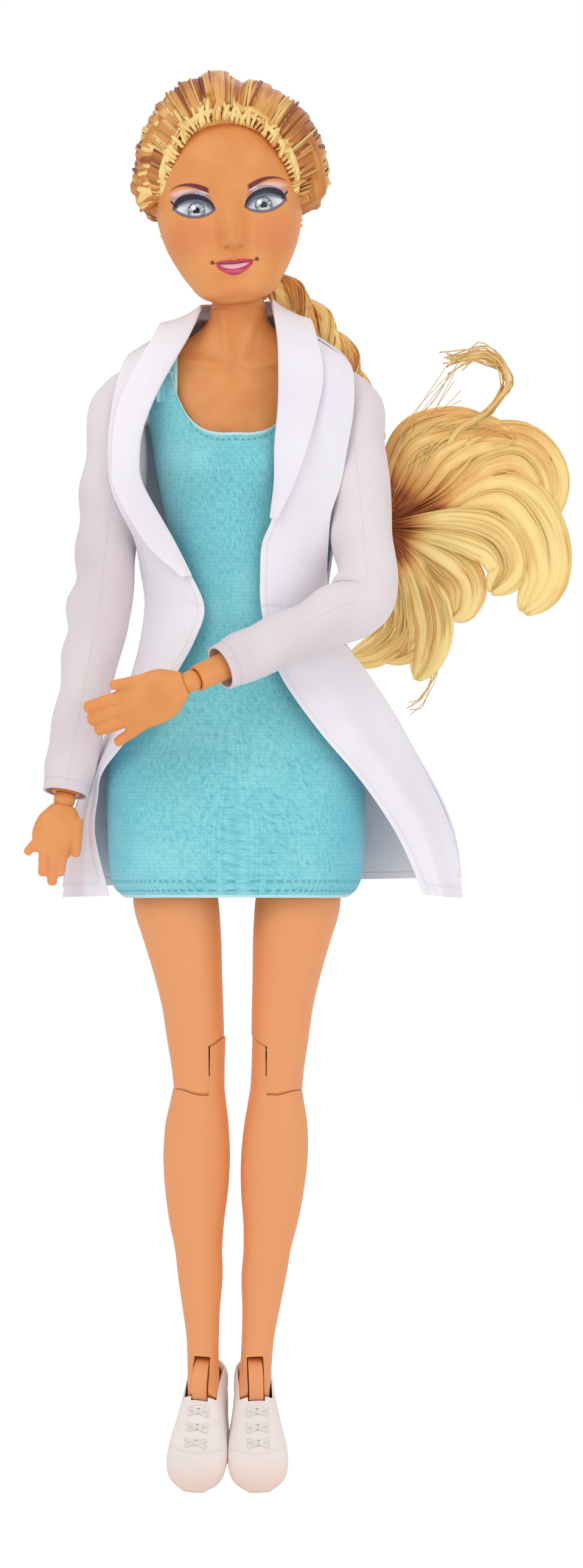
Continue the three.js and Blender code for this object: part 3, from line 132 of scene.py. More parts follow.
# Distance down the limb, outward offset, half-width, front, back
THIGH = [
    (0, 0, 7, 8, 8), (6, 0.2, 9.2, 9.3, 9.4), (14, 0.9, 9.5, 9.4, 9.8), (24, 2, 9.1, 9.2, 9.6),
    (29, 1.9, 9.05, 8.9, 9.2), (35.5, 1.2, 8.2, 8.3, 8.5), (42, 0.65, 7.3, 7.6, 7.6), (49, 0.2, 6.55, 6.8, 6.8),
    (56, 0.1, 6.1, 6.3, 6.1), (62, 0, 5.7, 5.9, 5.7), (69, 0, 5.5, 5.7, 5.7),
]
LOWER_LEG = [
    (-8.5, 0, 5.9, 6, 5.8), (3, 0, 5.5, 5.9, 5.7), (6.5, 0.2, 6, 5.9, 6.2), (11, 0.5, 6.75, 6, 7.2),
    (18, 0.7, 7.15, 6, 8), (25, 0.8, 6.8, 5.7, 7.6), (32, 0.9, 5.9, 5.2, 6.5), (38, 0.6, 5.1, 4.8, 5.4),
    (44, 0.3, 4.8, 4.4, 4.7), (51, 0.2, 4, 4, 4.2), (57, 0, 3.5, 3.8, 3.9), (62, 0, 3.4, 3.8, 3.8),
    (70, 0, 3.4, 3.9, 3.9),
]
# The ear's radius and distance from the knee's middle, the cup's depth, the fold's height, the washer's radius
KNEE_EAR, KNEE_EAR_SIDE, KNEE_CUP, KNEE_FOLD, KNEE_WASHER = 7.6, 2.2, 3.2, 7.0, 4.6
# Distance outwards from the knee's middle, radius of the cap round the knee's axis
KNEE_CAP = [(-2.2, 6.9), (0, 7.1), (2, 6.5), (4, 5.1), (6, 2.9), (8, 1.2), (20, 1.2)]
HIP_BALL, NECK_BALL, SHOULDER_SOCKET, ELBOW_SOCKET, WRIST_BALL = 9.6, 6.0, 4.0, 3.2, 2.3
# The shoulder's boss on the torso: radius, from and to this far out
SHOULDER_BOSS, BOSS_FROM, BOSS_TO = 4.6, 12, 20.6
# Radius of the fork's cheeks and of the foot's disc, the tongue's width, the pin's radius
ANKLE_CHEEK, ANKLE_TOP, ANKLE_TONGUE, ANKLE_PIN = 3.9, 5.0, 3.0, 0.9
# Degrees that the feet point down, turn out and tilt
FOOT_POINT = 60.0
TOE_OUT, FOOT_TILT = {"r": 10.0, "l": 4.0}, {"r": 4.0, "l": 2.0}
# Distance ahead of the ankle, half-width, top, sole
SHOE = [
    (-7, 2.6, -4.4, -9.6), (-5.2, 3.7, -1.9, -10), (-2, 4.2, -0.4, -10), (3, 4.5, 0.2, -10), (8, 5.4, -1.8, -10),
    (13, 6.4, -4, -10), (17.5, 6.3, -5.6, -10), (20, 5.1, -6.8, -9.9), (22, 2.4, -8.3, -9.4),
]
HEEL, TOE = SHOE[0][0], SHOE[-1][0]
# Half-width and radius of the room in the shoe's collar, its wall, and how much the sole's curve is flattened
COLLAR_HALF, COLLAR_CLEAR, SHOE_WALL, SOLE_FLAT = 3.5, 4.4, 0.8, 1.3
DRESS = [
    (-61.4, 23.6, 12.8, 11.8), (-59.6, 25.6, 13.2, 12.3), (-56, 26.8, 13.4, 12.6), (-48, 27.2, 13.2, 12.6),
    (-36, 27.2, 12.4, 12.6), (-28, 25.4, 11.8, 12.6), (-20, 21.2, 11, 12), (-10, 15.8, 10, 10.6), (0, 12.4, 9.2, 8.9),
    (10, 12.8, 9.6, 8.8), (20, 14.9, 10.9, 9.6), (30, 17, 12.6, 9.8), (38, 18.3, 11.9, 10.7), (46, 20.9, 10, 10.7),
    (53, 20, 8.6, 8.8),
]
# Angle from the side seam, height
NECKLINE_FRONT = [
    (0, 37), (22, 42), (34, 48.5), (38, 50.2), (51, 50.2), (54, 47.6), (57, 44.4), (61, 40.8), (70, 37.8), (81, 36.8),
    (90, 36.9),
]
NECKLINE_BACK = [(0, 37), (22, 43), (34, 49), (44, 49), (58, 46), (90, 44.5)]
# Opening edge x y z, then outer edge x y z, from the hem up
COAT_FRONT = {
    "r": [
        (-26.9, -5.4, -61.2, -36.9, 0, -61.6), (-29.9, -5.6, -48.4, -35.2, 0, -48), (-29.3, -6.8, -40.3, -33, 0, -40),
        (-28.3, -8.6, -35.1, -31.2, 0, -35), (-23.6, -13, -29, -28.8, 0, -29), (-16, -13.6, -20, -24, 0, -20),
        (-12.1, -13.1, -13.5, -21.6, 0, -13), (-8.6, -12.4, -7, -20, 0, -6), (-6.6, -11.6, 0, -19.3, 0, 1),
        (-10, -11.5, 8, -20.4, -1.5, 9), (-13, -11.9, 14, -21.6, -5, 15), (-16.4, -12.2, 20, -24.4, -7.9, 20.5),
        (-19.6, -11.6, 26, -26.5, -8.3, 26), (-20.3, -10.9, 32, -27, -8.3, 32), (-19.5, -10.5, 38, -26.8, -8.1, 38),
        (-16.9, -10, 45, -25.9, -7.3, 44.5), (-13.4, -9.1, 51.5, -24.8, -5.2, 49.3),
        (-10.4, -7.7, 57, -23.9, -2.6, 52.3), (-8.4, -4.4, 61.4, -22.8, 0.2, 53.9),
    ],
    "l": [
        (39.8, -9.4, -60.7, 48.2, 0, -61.8), (35.2, -10.4, -50.2, 46.8, 0, -51), (30.8, -11.8, -42.8, 44.2, 0, -43),
        (25.4, -13.2, -35.4, 40.4, 0, -35.4), (18.9, -13.9, -27.8, 36.4, 0, -27.8),
        (12.9, -13.6, -19.9, 32, 0, -19.9), (9.1, -12.9, -13.7, 27.4, 0, -13), (6.6, -12.1, -6, 21.8, 0, -6),
        (5.3, -11.5, 0.5, 19.8, 0, 1), (5.2, -11.7, 7, 19.3, -3, 8), (5.6, -12.2, 13.3, 19.6, -8, 14),
        (7.8, -14, 19, 20.2, -10.8, 20), (8.5, -16.4, 26, 22.1, -10.8, 26), (8.6, -16.6, 34, 23.6, -10.1, 34),
        (9.3, -13.9, 42, 24.8, -10, 41), (9.4, -11.2, 49, 25.1, -8.8, 46.5), (9.4, -9.1, 56, 24.6, -5.4, 51),
        (8.4, -4.4, 62.3, 23, 0.2, 53.6),
    ],
}
# Right edge x y z, left edge x y z, depth, from the hem up
COAT_BACK = [
    (-36.9, 0.9, -59.5, 48, 0.9, -57.5, 15), (-35.4, 0.9, -48, 46.8, 0.9, -49, 15.2),
    (-33.4, 0.9, -40, 44, 0.9, -41, 15.3), (-29.2, 0.9, -30, 37.8, 0.9, -30, 15.2),
    (-24.4, 0.9, -20, 32.1, 0.9, -20, 14.5), (-21, 0.9, -10, 24.9, 0.9, -10, 12.8),
    (-19.3, 0.9, 1, 19.8, 0.9, 1, 11.2), (-20.2, 4, 10, 20.2, 3.6, 10, 11), (-22.4, 7.9, 20, 22, 5, 20, 11.6),
    (-23.6, 8.2, 30, 22.6, 6.6, 30, 12.2), (-23.6, 8, 40, 23.4, 7.8, 40, 12.8),
    (-23.6, 7.8, 46.6, 23.6, 7.8, 46.4, 12.5), (-23.4, 5.6, 51.3, 23.4, 5.6, 51.1, 11.4),
    (-23, 0.8, 54, 23.2, 0.8, 53.8, 10.4), (-15.6, -2.4, 58.4, 15.8, -2.4, 58.8, 9.8),
    (-8.6, -3.8, 62, 8.6, -3.8, 63, 9),
]
# Inner edge x y z, outer edge x y z, round the neck
COLLAR = [
    (-9.4, -13.3, 6.6, -11.4, -12.9, 6.2), (-13.1, -14, 14, -18.9, -11.4, 13.4), (-19.7, -13.6, 26, -25.6, -11, 25),
    (-20.4, -12.6, 32, -26.2, -10.6, 31.4), (-19.5, -12.2, 38, -25.9, -10.2, 37.6),
    (-16.8, -11.8, 45, -24.6, -9.6, 43.8), (-13.2, -11, 51.8, -21.8, -8.5, 50), (-9.9, -9.4, 57.8, -18.2, -6.8, 56.4),
    (-7.6, -3.6, 63.6, -15.8, -1.6, 60.8), (-6.9, 5.2, 65.2, -13.4, 9.8, 60), (0.4, 10, 65.8, 0.4, 13.4, 57),
    (7.2, 5.2, 66, 13.8, 9.8, 60.4), (7.7, -3.6, 64.8, 15.8, -1.6, 61.6), (8.9, -10.8, 57, 17.6, -8.6, 55.6),
    (9.1, -13, 49.6, 18.6, -11.1, 48.8), (9, -15.6, 42.4, 17.4, -13.8, 41.8), (8.3, -18.2, 34, 15.2, -17.1, 33.6),
    (8.2, -18, 26, 12.4, -17.3, 25.6), (7.4, -15.6, 18.6, 8.8, -15.6, 18.4),
]
# Middle of each armhole, the radius of the sleeve's line round it, and the stretch along the upper arm past which the
# sleeve's first piece ends
ARMHOLE = {"r": np.array([-19, 0, 38.6]), "l": np.array([19, 0, 38.6])}
SLEEVE_ARC = 6.9
SLEEVE_RAMP = -2.0, 7.0
# Radii of the sleeves
SLEEVE_CAP, SLEEVE_ARM, SLEEVE_ELBOW, SLEEVE_FOREARM, SLEEVE_CUFF = 6.2, 6.4, 6.3, 5.8, 4.6
# Distance of each cuff from the elbow
CUFF_AT = {"r": 42.6, "l": 37.5}
# Distance from the wrist, middle, half-width, half-depth
PALM = {
    "r": [(1.3, 0, 2.5, 2.2), (2.6, 0, 3.5, 2.15), (4.4, -0.2, 4.6, 2.1), (8, -0.4, 5.1, 1.9), (12, -0.6, 3.8, 1.3)],
    "l": [(1.3, 0, 2.5, 2.2), (3, 0.2, 3.8, 2.2), (6, 0.4, 5.4, 2.2), (12, 0.6, 5.5, 2), (16.4, 0.8, 4.2, 1.4)],
}
# Root x y z, tip x y z and radius of each finger, on the hand's own axes
FINGERS = {
    "r": [
        ((-3.7, 0, -9), (-6, -0.2, -12.9), 1.0),
        ((-2.3, 0, -10.4), (-1.7, 1, -16.8), 1.15),
        ((-0.3, 0, -10.8), (0.6, 1, -18.4), 1.18),
        ((1.6, 0, -9.8), (1.9, 1, -16.2), 1.1),
        ((3.6, -0.2, -3.8), (4.6, -1.4, -12), 1.15),
    ],
    "l": [
        ((-3.8, -0.2, -8.6), (-5.3, -1, -16.2), 1.2),
        ((-2.2, 0, -15), (-2.5, 1.2, -23.2), 1.4),
        ((0.3, -0.1, -15.4), (0.2, 1, -23.4), 1.45),
        ((2.8, -0.1, -15), (2.8, 1.2, -22.8), 1.4),
        ((4.9, 0, -12.4), (6.7, 0.6, -19.8), 1.2),
    ],
}
# The twisted tail's middle line, from the nape to the tie
TWIST = [
    (5.6, 10.6, 71.4), (9.4, 10.4, 69.2), (14.6, 10.2, 65.2), (19.4, 10.8, 59.6), (24, 12.6, 53), (27.6, 13.6, 43),
    (30.2, 13.4, 33), (31, 12.8, 25.2),
]
# Where the loose tail's locks leave the tie, then for each lock its width, tone and path x y z from there
GATHER = (31, 12.8, 18)
LOCKS = [
    (9, 0.42, [(33.4, 12.2, 27), (37.6, 12, 35.6), (46, 12.2, 39), (56, 12.6, 39.2)]),
    (10, 0.48, [(38.6, 12, 27), (44, 12.2, 35), (52, 12.4, 38), (60, 12.8, 37)]),
    (12, 0.56, [(44.5, 12, 25), (53, 12.4, 33), (61, 12.8, 34.6), (66.4, 13, 29), (67.2, 13.2, 19)]),
    (12, 0.68, [(45, 12.4, 21), (57, 12, 25), (64.6, 12.4, 17.6), (66.6, 12.8, 7), (62, 13, -0.6)]),
    (11, 0.91, [(45, 11.2, 18), (55, 11.2, 15.4), (58.6, 12, 9), (55, 12.6, 3.6)]),
    (10, 0.66, [(42, 12.4, 12), (48.4, 12.6, 6.4), (48.6, 12.8, 0.8), (46.2, 13, -1.6)]),
    (9, 0.61, [(37.6, 12.2, 9), (41.4, 12.4, -2), (41, 12.6, -9), (38.8, 12.8, -15)]),
    (8, 0.48, [(35.4, 12.6, 10), (38.2, 12.8, 1), (37, 13, -6.4), (31.4, 13.2, -10.4)]),
    (7, 0.56, [(34, 12.6, 8), (34.6, 12.8, -3), (30.6, 13, -8.4), (24.4, 13.2, -10.6)]),
]
# A curl above the loose tail
WISP = [(44, 12.2, 33), (48, 10.8, 39), (54.4, 9.6, 43), (58.4, 9.4, 49.4), (54, 9.4, 54.6), (46.2, 9.6, 53.6)]
# Number of fibres, thickness, spread, path
STRAYS = [
    (5, 0.07, 1.6, [(34, 12, 24), (37, 11, 38), (43, 11, 47), (47, 11, 53)]),
    (4, 0.07, 1.6, [(35, 12, 26), (40, 11, 39), (48, 11, 47)]),
    (6, 0.08, 1.0, [(40, 13, -4), (43, 12.6, -12), (40, 13, -18), (38, 13, -21)]),
]
# Middle lines of the front rolls, on the head's own axes
ROLLS = {
    -1: [
        (-0.2, -9.2, 43.6), (-4.4, -9.6, 44.6), (-9.8, -8.2, 42), (-14.2, -6.2, 37), (-16.2, -4.4, 31.2),
        (-16.8, -3.6, 26.6), (-16.6, -3.4, 23.8),
    ],
    1: [
        (1.8, -9.8, 42.8), (5.8, -9.4, 43), (10.8, -8, 41.2), (15, -6.2, 37.2), (17.8, -4.6, 32), (18.6, -3.6, 26.4),
        (18.6, -3.2, 23.2),
    ],
}
# Tone, width and path of the curls that cross at the parting
CURLS = [
    (0.9, 1.2, [(-7, -11.2, 43.2), (-3.4, -13.2, 42.4), (-0.9, -13.6, 43.2), (0.2, -12.6, 45.6), (-0.9, -9.4, 48.4)]),
    (0.85, 1.1, [(4.8, -12.6, 41.7), (2.6, -13.8, 42), (0.7, -13.9, 43), (0.1, -12.6, 45), (1.2, -9.6, 47.4)]),
    (0.6, 1.0, [(9, -12, 41.2), (5.6, -13.4, 42.2), (3, -13.2, 44), (2.4, -10.2, 46.4)]),
    (0.5, 1.1, [(-10.4, -10.4, 41.2), (-6.6, -12.8, 42.4), (-3.4, -13, 44.8), (-2.6, -10, 47.8)]),
    (-0.1, 0.55, [(-1.4, -14.1, 41.9), (-0.2, -14.5, 43), (-0.6, -14, 44.4), (-1.8, -12, 46.6)]),
]


# ---------------------------------------------------------------- numbers and curves


def rows_at(table, keys):
    """Columns of a table at keys: a cubic through its rows, whose slope at a row joins that row's neighbours."""
    rows = np.array(table, float)
    keys = np.asarray(keys, float)
    grid = rows[:, 0]
    values = rows[:, 1:]
    last = len(rows) - 1
    before = np.maximum(np.arange(last + 1) - 1, 0)
    after = np.minimum(np.arange(last + 1) + 1, last)
    slopes = (values[after] - values[before]) / (grid[after] - grid[before])[:, None]
    i = np.clip(np.searchsorted(grid, keys, side="right") - 1, 0, last - 1)
    span = (grid[i + 1] - grid[i])[..., None]
    t = np.clip((keys - grid[i])[..., None] / span, 0, 1)
    h1 = t * t * (3 - 2 * t)
    h2 = t * (1 - t) ** 2
    h3 = -t * t * (1 - t)
    return values[i] * (1 - h1) + values[i + 1] * h1 + span * (slopes[i] * h2 + slopes[i + 1] * h3)


def numbered(rows):
    """Rows given an even key from 0 to 1 in front."""
    return [(k / (len(rows) - 1), *row) for k, row in enumerate(rows)]


def bump(x, width):
    """A bell curve of x, 1 at 0 and 0.37 at width."""
    return np.exp(-((x / width) ** 2))


def ramp(x, low, high):
    """0 below low, 1 above high, smooth between."""
    t = np.clip((x - low) / (high - low), 0, 1)
    return t * t * (3 - 2 * t)


def power_of(c, power):
    """The sign of c times its size to the power 2 / power: a rounded square's coordinate."""
    return np.sign(c) * np.abs(c) ** (2 / power)


def unit(v):
    """Vectors scaled to length 1."""
    return v / np.maximum(np.linalg.norm(v, axis=-1, keepdims=True), 1e-9)


def basis(origin, up, side):
    """A 4 x 4 matrix at origin whose Z is up and whose X lies along side, as a joint's frame."""
    z = unit(np.asarray(up, float))
    x = np.asarray(side, float)
    x = unit(x - (x @ z) * z)
    matrix = np.eye(4)
    matrix[:3, :3] = np.stack([x, np.cross(z, x), z], axis=1)
    matrix[:3, 3] = origin
    return matrix


def joined(*coordinates):
    """Points made of their coordinates, each spread over the same grid."""
    return np.stack(np.broadcast_arrays(*coordinates), axis=-1)


def into(matrix, points):
    """Points or a grid of them moved by a 4 x 4 matrix."""
    flat = np.asarray(points, float).reshape(-1, 3)
    return (flat @ matrix[:3, :3].T + matrix[:3, 3]).reshape(np.shape(points))


def pin_ends(axes, half):
    """Both ends of a pin along the X of some axes."""
    return into(axes, [[-half, 0, 0], [half, 0, 0]])


def turns(count):
    """Even angles once round a circle."""
    return np.linspace(0, 2 * np.pi, count, endpoint=False)


def ball_ways(turn, angle):
    """Directions turn away from the top and angle round it."""
    return joined(np.sin(turn) * np.cos(angle), np.sin(turn) * np.sin(angle), np.cos(turn))


def turned(axis, degrees):
    """A 4 x 4 turn about an axis through the origin."""
    return np.array(Matrix.Rotation(math.radians(degrees), 4, Vector(axis)))


def smooth_path(points, count):
    """count points on a centripetal spline through points, at even steps of its length."""
    p = np.array(points, float)
    p = np.vstack([2 * p[0] - p[1], p, 2 * p[-1] - p[-2]])
    out = []
    for k in range(1, len(p) - 2):
        t = np.linspace(0, 1, 24, endpoint=False)[:, None]
        a, b, c, d = p[k - 1], p[k], p[k + 1], p[k + 2]
        out.append(0.5 * (2 * b + (c - a) * t + (2 * a - 5 * b + 4 * c - d) * t**2 + (3 * b - a - 3 * c + d) * t**3))
    line = np.vstack([*out, p[-2:-1]])
    length = np.concatenate([[0], np.cumsum(np.linalg.norm(np.diff(line, axis=0), axis=1))])
    at = np.linspace(0, length[-1], count)
    return np.stack([np.interp(at, length, line[:, k]) for k in range(3)], axis=1)


def tangents(line):
    """Unit directions along a line of points."""
    return unit(np.gradient(line, axis=0))


def tube_grid(line, side, wide, deep, columns):
    """Rings square to a line: wide along side and deep across it, one row for each point."""
    forward = tangents(line)
    across = np.broadcast_to(np.asarray(side, float), line.shape)
    across = unit(across - np.sum(across * forward, axis=1, keepdims=True) * forward)
    other = np.cross(forward, across)
    angle = turns(columns)
    c, s = np.cos(angle)[None, :, None], np.sin(angle)[None, :, None]
    wide = np.broadcast_to(wide, (len(line),))[:, None, None]
    deep = np.broadcast_to(deep, (len(line),))[:, None, None]
    return line[:, None] + across[:, None] * c * wide + other[:, None] * s * deep


# ---------------------------------------------------------------- meshes


def grid_faces(rows, columns, closed):
    """Quads of a grid of points, numbered row by row; closed joins the last column to the first."""
    j, i = np.meshgrid(np.arange(rows - 1), np.arange(columns if closed else columns - 1), indexing="ij")
    a = j * columns + i
    b = j * columns + (i + 1) % columns
    return np.stack([a, b, b + columns, a + columns], axis=-1).reshape(-1, 4)


def grid_uv(rows, columns, closed):
    """Corner coordinates of the same quads: along the columns, then along the rows."""
    wide = columns if closed else columns - 1
    j, i = np.meshgrid(np.arange(rows - 1), np.arange(wide), indexing="ij")
    u0, u1 = i / wide, (i + 1) / wide
    v0, v1 = j / (rows - 1), (j + 1) / (rows - 1)
    corners = [joined(*pair) for pair in ((u0, v0), (u1, v0), (u1, v1), (u0, v1))]
    return np.stack(corners, axis=2).reshape(-1, 4, 2)


def mesh_object(name, verts, faces, uv=None):
    """A mesh object from points in millimetres, quads or triangles, and corner coordinates."""
    mesh = bpy.data.meshes.new(name)
    mesh.from_pydata((np.asarray(verts) * MM).tolist(), [], [list(f) for f in faces])
    if uv is not None:
        layer = mesh.uv_layers.new(name="UVMap")
        layer.data.foreach_set("uv", np.asarray(uv, np.float32).ravel())
    mesh.shade_smooth()
    obj = bpy.data.objects.new(name, mesh)
    bpy.context.scene.collection.objects.link(obj)
    return obj


def surface(name, grids, closed=True, ends=True, tones=None):
    """Grids of points P[row, column] as one mesh. closed joins the last column to the first; ends closes the first
    and last rows with a fan round their middle; tones are one number for each grid, kept as the attribute tone.
    Faces are turned outwards."""
    verts, faces, uvs, base = [], [], [], 0
    for grid in grids:
        rows, columns = grid.shape[:2]
        quads = grid_faces(rows, columns, closed)
        uv = grid_uv(rows, columns, closed)
        points = grid.reshape(-1, 3)
        if closed and ends:
            middles = np.stack([grid[0].mean(0), grid[-1].mean(0)])
            first = np.arange(columns)
            second = (first + 1) % columns
            top = (rows - 1) * columns
            low_fan = np.stack([second, first, np.full(columns, len(points))], axis=1)
            high_fan = np.stack([top + first, top + second, np.full(columns, len(points) + 1)], axis=1)
            fans = np.vstack([low_fan, high_fan])
            points = np.vstack([points, middles])
            # The sign of the closed shape's volume tells which way its faces look
            a, b, c, d = (points[quads[:, k]] for k in range(4))
            volume = np.sum(a * np.cross(b, c)) + np.sum(a * np.cross(c, d))
            a, b, c = (points[fans[:, k]] for k in range(3))
            volume += np.sum(a * np.cross(b, c))
            if volume < 0:
                quads, uv, fans = quads[:, ::-1], uv[:, ::-1], fans[:, ::-1]
            faces += (quads + base).tolist() + (fans + base).tolist()
            share = first / columns
            fan_uv = [np.stack([share, share + 1 / columns, share], axis=1)] * 2
            fan_v = np.repeat([0.0, 1.0], columns)
            fan = np.stack([np.vstack(fan_uv), np.repeat(fan_v[:, None], 3, axis=1)], axis=2)
            uvs += uv.reshape(-1, 2).tolist() + fan.reshape(-1, 2).tolist()
        else:
            faces += (quads + base).tolist()
            uvs += uv.reshape(-1, 2).tolist()
        verts.append(points)
        base += len(points)
    obj = mesh_object(name, np.vstack(verts), faces, uvs)
    if tones is not None:
        layer = obj.data.attributes.new("tone", "FLOAT", "POINT")
        layer.data.foreach_set("value", np.repeat(np.array(tones, np.float32), [len(v) for v in verts]))
    return obj


def bake_shape(obj):
    """The object's modifiers worked into its mesh."""
    graph = bpy.context.evaluated_depsgraph_get()
    mesh = bpy.data.meshes.new_from_object(obj.evaluated_get(graph))
    obj.modifiers.clear()
    obj.data = mesh
    return obj


def boolean(obj, others, operation="DIFFERENCE"):
    """obj cut by, or joined to, closed meshes, which are then removed."""
    for other in others:
        step = obj.modifiers.new("cut", "BOOLEAN")
        step.operation = operation
        step.solver = "EXACT"
        step.object = other
        bpy.context.view_layer.update()
        bake_shape(obj)
        bpy.data.objects.remove(other)
    return obj


def crisp(obj, degrees=35):
    """Welds what cutting left apart, and shades smoothly with breaks where faces meet at more than an angle."""
    mesh = bmesh.new()
    mesh.from_mesh(obj.data)
    bmesh.ops.remove_doubles(mesh, verts=mesh.verts, dist=2e-6)
    bmesh.ops.dissolve_degenerate(mesh, edges=mesh.edges, dist=1e-6)
    mesh.to_mesh(obj.data)
    mesh.free()
    obj.data.shade_smooth()
    obj.data.set_sharp_from_angle(angle=math.radians(degrees))
    return obj


def cylinder(radius, start, end, sides=48):
    """A closed cylinder between two points."""
    start, end = np.array(start, float), np.array(end, float)
    side = [0.0, 0.0, 1.0] if abs(unit(end - start)[2]) < 0.9 else [1.0, 0.0, 0.0]
    line = np.stack([start, end])
    return surface("cutter", [tube_grid(line, side, radius, radius, sides)])


def slab(x, y, z, matrix=None):
    """A closed block between pairs of x, y and z."""
    corners = np.array([[[x[0], y[0], k], [x[1], y[0], k], [x[1], y[1], k], [x[0], y[1], k]] for k in z], float)
    return surface("cutter", [corners if matrix is None else into(matrix, corners)])


def sphere(radius, centre, sides=40):
    """A closed ball: circles whose radius follows a half circle from pole to pole."""
    turn = np.linspace(0.04, np.pi - 0.04, sides // 2)[:, None]
    return surface("cutter", [ball_ways(turn, turns(sides)[None, :]) * radius + np.asarray(centre)])


def ring_grid(x, y, z, half, front, back, power, columns):
    """Rounded horizontal rings, one row for each height: x and y of a rounded square, with its own
    depth in front (-Y) and behind."""
    angle = turns(columns)[None, :]
    c, s = np.cos(angle), np.sin(angle)
    column = lambda v: np.broadcast_to(np.asarray(v, float), np.shape(z))[:, None]
    px = column(x) + power_of(c, power) * column(half)
    py = column(y) + power_of(s, power) * np.where(s < 0, column(front), column(back))
    return joined(px, py, column(z))


def finish(obj, look, body=None, replaces=(), levels=0, wall=None):
    """Gives a piece its material, slot, body, the nodes it stands for, wall and subdivision."""
    obj.data.materials.clear()
    obj.data.materials.append(look)
    if wall:
        solidify = obj.modifiers.new("wall", "SOLIDIFY")
        solidify.thickness = wall * MM
        solidify.offset = 0
    if levels:
        subdivide = obj.modifiers.new("smooth", "SUBSURF")
        subdivide.levels = levels
        subdivide.render_levels = levels
    if body:
        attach(obj, body)
    if replaces:
        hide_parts(*replaces)
    return obj


# ---------------------------------------------------------------- shader expressions


def wired(operation, turned_round=False):
    """A method of Wire that adds a Math node, with the wire itself as the last value where turned_round is set."""

    def method(self, *others):
        values = (*others, self) if turned_round else (self, *others)
        return self.graph.node("ShaderNodeMath", {"operation": operation}, values)

    return method


class Wire:
    """A shader socket whose operators add Math nodes."""

    def __init__(self, graph, socket):
        self.graph, self.socket = graph, socket

    __add__ = __radd__ = wired("ADD")
    __sub__, __rsub__ = wired("SUBTRACT"), wired("SUBTRACT", True)
    __mul__ = __rmul__ = wired("MULTIPLY")
    __truediv__, __pow__, __abs__ = wired("DIVIDE"), wired("POWER"), wired("ABSOLUTE")
    sin, fraction = wired("SINE"), wired("FRACT")
    smaller, larger = wired("MINIMUM"), wired("MAXIMUM")

    def __neg__(self):
        return self * -1


class Graph:
    """A node tree that expressions add their nodes to."""

    def __init__(self, tree):
        self.tree = tree

    def node(self, kind, settings=None, values=(), output=0):
        """Adds a node: its settings first, then the numbers, colours or wires of its sockets by index or name."""
        made = self.tree.nodes.new(kind)
        for key, value in (settings or {}).items():
            if key == "stops":
                elements = made.color_ramp.elements
                while len(elements) < len(value):
                    elements.new(0.5)
                for stop, (place, tint) in zip(elements, value):
                    stop.position, stop.color = place, (*tint, 1.0)
            else:
                setattr(made, key, value)
        for key, value in values.items() if isinstance(values, dict) else enumerate(values):
            socket = made.inputs[key]
            if isinstance(value, Wire):
                self.tree.links.new(value.socket, socket)
            else:
                socket.default_value = (*value, 1.0) if socket.type == "RGBA" else value
        return Wire(self, made.outputs[output]) if made.outputs else None

    def split(self, vector):
        """The three numbers of a vector."""
        parts = self.node("ShaderNodeSeparateXYZ", {}, (vector,)).socket.node.outputs
        return [Wire(self, part) for part in parts]

    def join(self, x, y, z):
        """A vector from three numbers."""
        return self.node("ShaderNodeCombineXYZ", {}, (x, y, z))

    def dot(self, vector, axis):
        """How far a vector goes along an axis."""
        return self.node("ShaderNodeVectorMath", {"operation": "DOT_PRODUCT"}, (vector, axis), "Value")

    def noise(self, vector, scale, detail=2.0, rough=0.5):
        """Cloudy noise from 0 to 1, with scale cells for each unit of the vector."""
        values = {"Vector": vector, "Scale": scale, "Detail": detail, "Roughness": rough}
        return self.node("ShaderNodeTexNoise", {}, values, "Fac")

    def smooth(self, value, low, high):
        """0 where value is at low or less, 1 at high or more, smooth between; low may be above high."""
        ends = (high, low, 1.0, 0.0) if low > high else (low, high, 0.0, 1.0)
        return self.node("ShaderNodeMapRange", {"interpolation_type": "SMOOTHSTEP"}, (value, *ends))

    def near(self, value, wide, edge):
        """1 where value is within edge of 0, falling to 0 at wide."""
        return self.smooth(abs(value), wide, edge)

    def mix(self, share, first, second):
        """The second colour laid over the first by share."""
        return self.node("ShaderNodeMix", {"data_type": "RGBA"}, {0: share, 6: first, 7: second}, 2)


class Look(Graph):
    """A procedural material made of one Principled shader and expressions that feed it."""

    def __init__(self, name, constants):
        self.material = bpy.data.materials.new(name)
        self.material.use_nodes = True
        super().__init__(self.material.node_tree)
        self.shader = next(n for n in self.tree.nodes if n.type == "BSDF_PRINCIPLED")
        for key, value in constants.items():
            self.shader.inputs[key].default_value = value

    def place(self):
        """Object coordinates, in metres."""
        return self.node("ShaderNodeTexCoord", output="Object")

    def uv(self):
        """Coordinates along the columns (u) and the rows (v) of a piece's grid."""
        return self.node("ShaderNodeTexCoord", output="UV")

    def attribute(self, name):
        """A number kept with the mesh."""
        return self.node("ShaderNodeAttribute", {"attribute_name": name}, output="Fac")

    def feed(self, socket, value):
        """Links a wire to one of the shader's sockets."""
        self.tree.links.new(value.socket, self.shader.inputs[socket])

    def raise_by(self, height, strength, distance):
        """Bumps the surface by a height map; distance is in metres."""
        values = {"Strength": strength, "Distance": distance, "Height": height}
        self.feed("Normal", self.node("ShaderNodeBump", {}, values))


def colour(red, green, blue):
    """Linear colour from 0 to 255 screen values."""
    return tuple(((v / 255 + 0.055) / 1.055) ** 2.4 if v > 10 else v / 255 / 12.92 for v in (red, green, blue))


def dimmed(tint, share):
    """A colour scaled towards black."""
    return tuple(v * share for v in tint)


# ---------------------------------------------------------------- materials


FLESH = {"Specular IOR Level": 0.4, "Subsurface Radius": (1.0, 0.35, 0.15)}
WHITE, BLACK = (1.0, 1.0, 1.0), (0.0, 0.0, 0.0)


